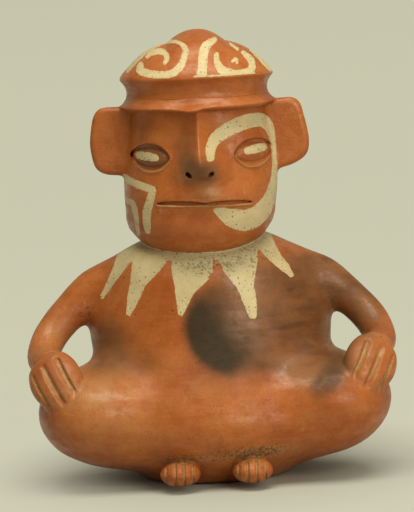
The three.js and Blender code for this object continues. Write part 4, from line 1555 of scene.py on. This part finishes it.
class OBJECT_OT_bottle_ears(BottleOperator, Operator):
    """Slab ears on both sides of the head"""
    bl_idname = "object.bottle_ears"
    bl_label = "Ears"

    def build(self):
        for name in ("ear_left", "ear_right"):
            add_whole(name, self.fine(1.2), carrier=plain_head, depth=3.0)


class OBJECT_OT_bottle_arms(BottleOperator, Operator):
    """Rolled arms from the shoulders to the knees"""
    bl_idname = "object.bottle_arms"
    bl_label = "Arms"

    def build(self):
        for name, slot in (("arm_left", SLIP_SLOT), ("arm_right", SMOKED_SLOT)):
            add_whole(name, self.fine(1.5), slot, carrier=body_form)


class OBJECT_OT_bottle_hands(BottleOperator, Operator):
    """Hands on the knees, with cut fingers"""
    bl_idname = "object.bottle_hands"
    bl_label = "Hands"

    def build(self):
        for name in ("hand_left", "hand_right"):
            add_whole(name, self.fine(1.0), carrier=body_form)


class OBJECT_OT_bottle_feet(BottleOperator, Operator):
    """Small feet under the lap, with cut toes"""
    bl_idname = "object.bottle_feet"
    bl_label = "Feet"

    def build(self):
        for name in ("foot_left", "foot_right"):
            add_whole(name, self.fine(1.0), carrier=body_form)


class OBJECT_OT_bottle_stirrup(BottleOperator, Operator):
    """Lower and upper branches of the tubular handle"""
    bl_idname = "object.bottle_stirrup"
    bl_label = "Stirrup"

    def build(self):
        y, z = spout_start()
        half_span = (STIRRUP_HIGH - STIRRUP_LOW) / 2
        run = Vector((0.0, -STIRRUP_REACH * math.sin(SPOUT_ANGLE), half_span * math.cos(SPOUT_ANGLE)))
        plane = ((0.0, y, z), tuple(run.normalized()))
        spaces = (stirrup_bore, spout_bore)
        nodes = ("stirrup_lower_branch", "stirrup_upper_branch")
        add_halves("stirrup", nodes, self.fine(1.5), plane, spaces=spaces, carrier=body_and_head)


class OBJECT_OT_bottle_spout(BottleOperator, Operator):
    """Upright spout with a soft lip"""
    bl_idname = "object.bottle_spout"
    bl_label = "Spout"

    def build(self):
        spaces = (spout_bore, stirrup_bore)
        add_whole("spout", self.fine(1.4), spaces=spaces, carrier=stirrup_field, depth=3.0)


# Stage

LAMP_COLOUR = (1.0, 0.97, 0.78)
ROOM_COLOUR = (0.62, 0.61, 0.45, 1.0)
ROOM_STRENGTH = 0.36
FLOOR_HALF_WIDTH = 6.0
FLOOR_DEPTH = 2.2
BACKDROP_BEND = 1.2
BACKDROP_TOP = 5.0
BACKDROP_STEPS = 12
AIM_HEIGHT = 0.091
FRAME_HEIGHT = 0.2129
SENSOR_HEIGHT = 24.0


def put(name, data):
    made = bpy.data.objects.new(name, data)
    bpy.context.scene.collection.objects.link(made)
    return made


def add_lamp(name, place, aim, size, power):
    lamp = bpy.data.lights.new(name, "AREA")
    lamp.shape = "RECTANGLE"
    lamp.size, lamp.size_y = size
    lamp.energy = power
    lamp.color = LAMP_COLOUR
    holder = put(name, lamp)
    holder.location = place
    holder.rotation_euler = (Vector(aim) - Vector(place)).to_track_quat("-Z", "Y").to_euler()


class OBJECT_OT_bottle_stage(BottleOperator, Operator):
    """Pale floor and backdrop, soft lamps and the camera"""
    bl_idname = "object.bottle_stage"
    bl_label = "Stage"

    def build(self):
        scene = bpy.context.scene
        self.add_floor(tuple(scene.bottle_stage.floor))
        self.add_camera(scene.bottle_stage)
        add_lamp("Overhead lamp", (0.05, -0.3, 1.2), (0.0, 0.0, 0.1), (0.9, 0.7), 13.0)
        add_lamp("Front lamp", (0.75, -1.25, 0.6), (0.0, 0.0, 0.09), (0.9, 0.8), 11.4)
        world = bpy.data.worlds.new("Room")
        world.use_nodes = True
        room = world.node_tree.nodes["Background"]
        room.inputs["Color"].default_value = ROOM_COLOUR
        room.inputs["Strength"].default_value = ROOM_STRENGTH
        scene.world = world
        scene.view_settings.view_transform = "Standard"

    def add_floor(self, colour):
        profile = [(-FLOOR_HALF_WIDTH, 0.0)]
        for index in range(BACKDROP_STEPS + 1):
            angle = math.pi / 2 * index / BACKDROP_STEPS
            rise = BACKDROP_BEND * (1 - math.cos(angle))
            profile.append((FLOOR_DEPTH + BACKDROP_BEND * math.sin(angle), rise))
        profile.append((FLOOR_DEPTH + BACKDROP_BEND, BACKDROP_TOP))
        mesh = bpy.data.meshes.new("Floor and backdrop")
        points = [(side * FLOOR_HALF_WIDTH, y, z) for y, z in profile for side in (-1, 1)]
        faces = [(i, i + 1, i + 3, i + 2) for i in range(0, len(points) - 2, 2)]
        mesh.from_pydata(points, [], faces)
        mesh.polygons.foreach_set("use_smooth", [True] * len(mesh.polygons))
        mesh.materials.append(floor_material(colour))
        put("Floor and backdrop", mesh)

    def add_camera(self, stage):
        aim = Vector((0.0, 0.0, AIM_HEIGHT))
        back = Vector((0.0, -math.cos(stage.elevation), math.sin(stage.elevation)))
        lens = bpy.data.cameras.new("Camera")
        lens.sensor_fit = "VERTICAL"
        lens.sensor_height = SENSOR_HEIGHT
        lens.lens = SENSOR_HEIGHT * stage.distance / FRAME_HEIGHT
        camera = put("Camera", lens)
        turn = back.to_track_quat("Z", "Y").to_matrix().to_4x4()
        place = Matrix.Translation(aim + back * stage.distance)
        camera.matrix_world = place @ turn @ Matrix.Rotation(stage.roll, 4, "Z")
        bpy.context.scene.camera = camera


OPERATORS = (
    OBJECT_OT_bottle_stage,
    OBJECT_OT_bottle_body,
    OBJECT_OT_bottle_base,
    OBJECT_OT_bottle_head,
    OBJECT_OT_bottle_cap,
    OBJECT_OT_bottle_ears,
    OBJECT_OT_bottle_arms,
    OBJECT_OT_bottle_hands,
    OBJECT_OT_bottle_feet,
    OBJECT_OT_bottle_stirrup,
    OBJECT_OT_bottle_spout,
)


class VIEW3D_PT_bottle(Panel):
    bl_label = "Stirrup Spout Bottle"
    bl_idname = "VIEW3D_PT_bottle"
    bl_space_type = "VIEW_3D"
    bl_region_type = "UI"
    bl_category = "Bottle"

    def draw(self, context):
        scene = context.scene
        for settings in (scene.bottle_shape, scene.bottle_colours, scene.bottle_stage):
            box = self.layout.box()
            for name in settings.__annotations__:
                box.prop(settings, name)
        for operator in OPERATORS:
            self.layout.operator(operator.bl_idname)


CLASSES = (BottleShape, BottleColours, BottleStage) + OPERATORS + (VIEW3D_PT_bottle,)


def register():
    for made in CLASSES:
        bpy.utils.register_class(made)
    bpy.types.Scene.bottle_shape = PointerProperty(type=BottleShape)
    bpy.types.Scene.bottle_colours = PointerProperty(type=BottleColours)
    bpy.types.Scene.bottle_stage = PointerProperty(type=BottleStage)


def unregister():
    del bpy.types.Scene.bottle_stage
    del bpy.types.Scene.bottle_colours
    del bpy.types.Scene.bottle_shape
    for made in reversed(CLASSES):
        bpy.utils.unregister_class(made)


def main():
    register()
    for operator in OPERATORS:
        group, name = operator.bl_idname.split(".")
        getattr(getattr(bpy.ops, group), name)()


if __name__ == "__main__":
    main()
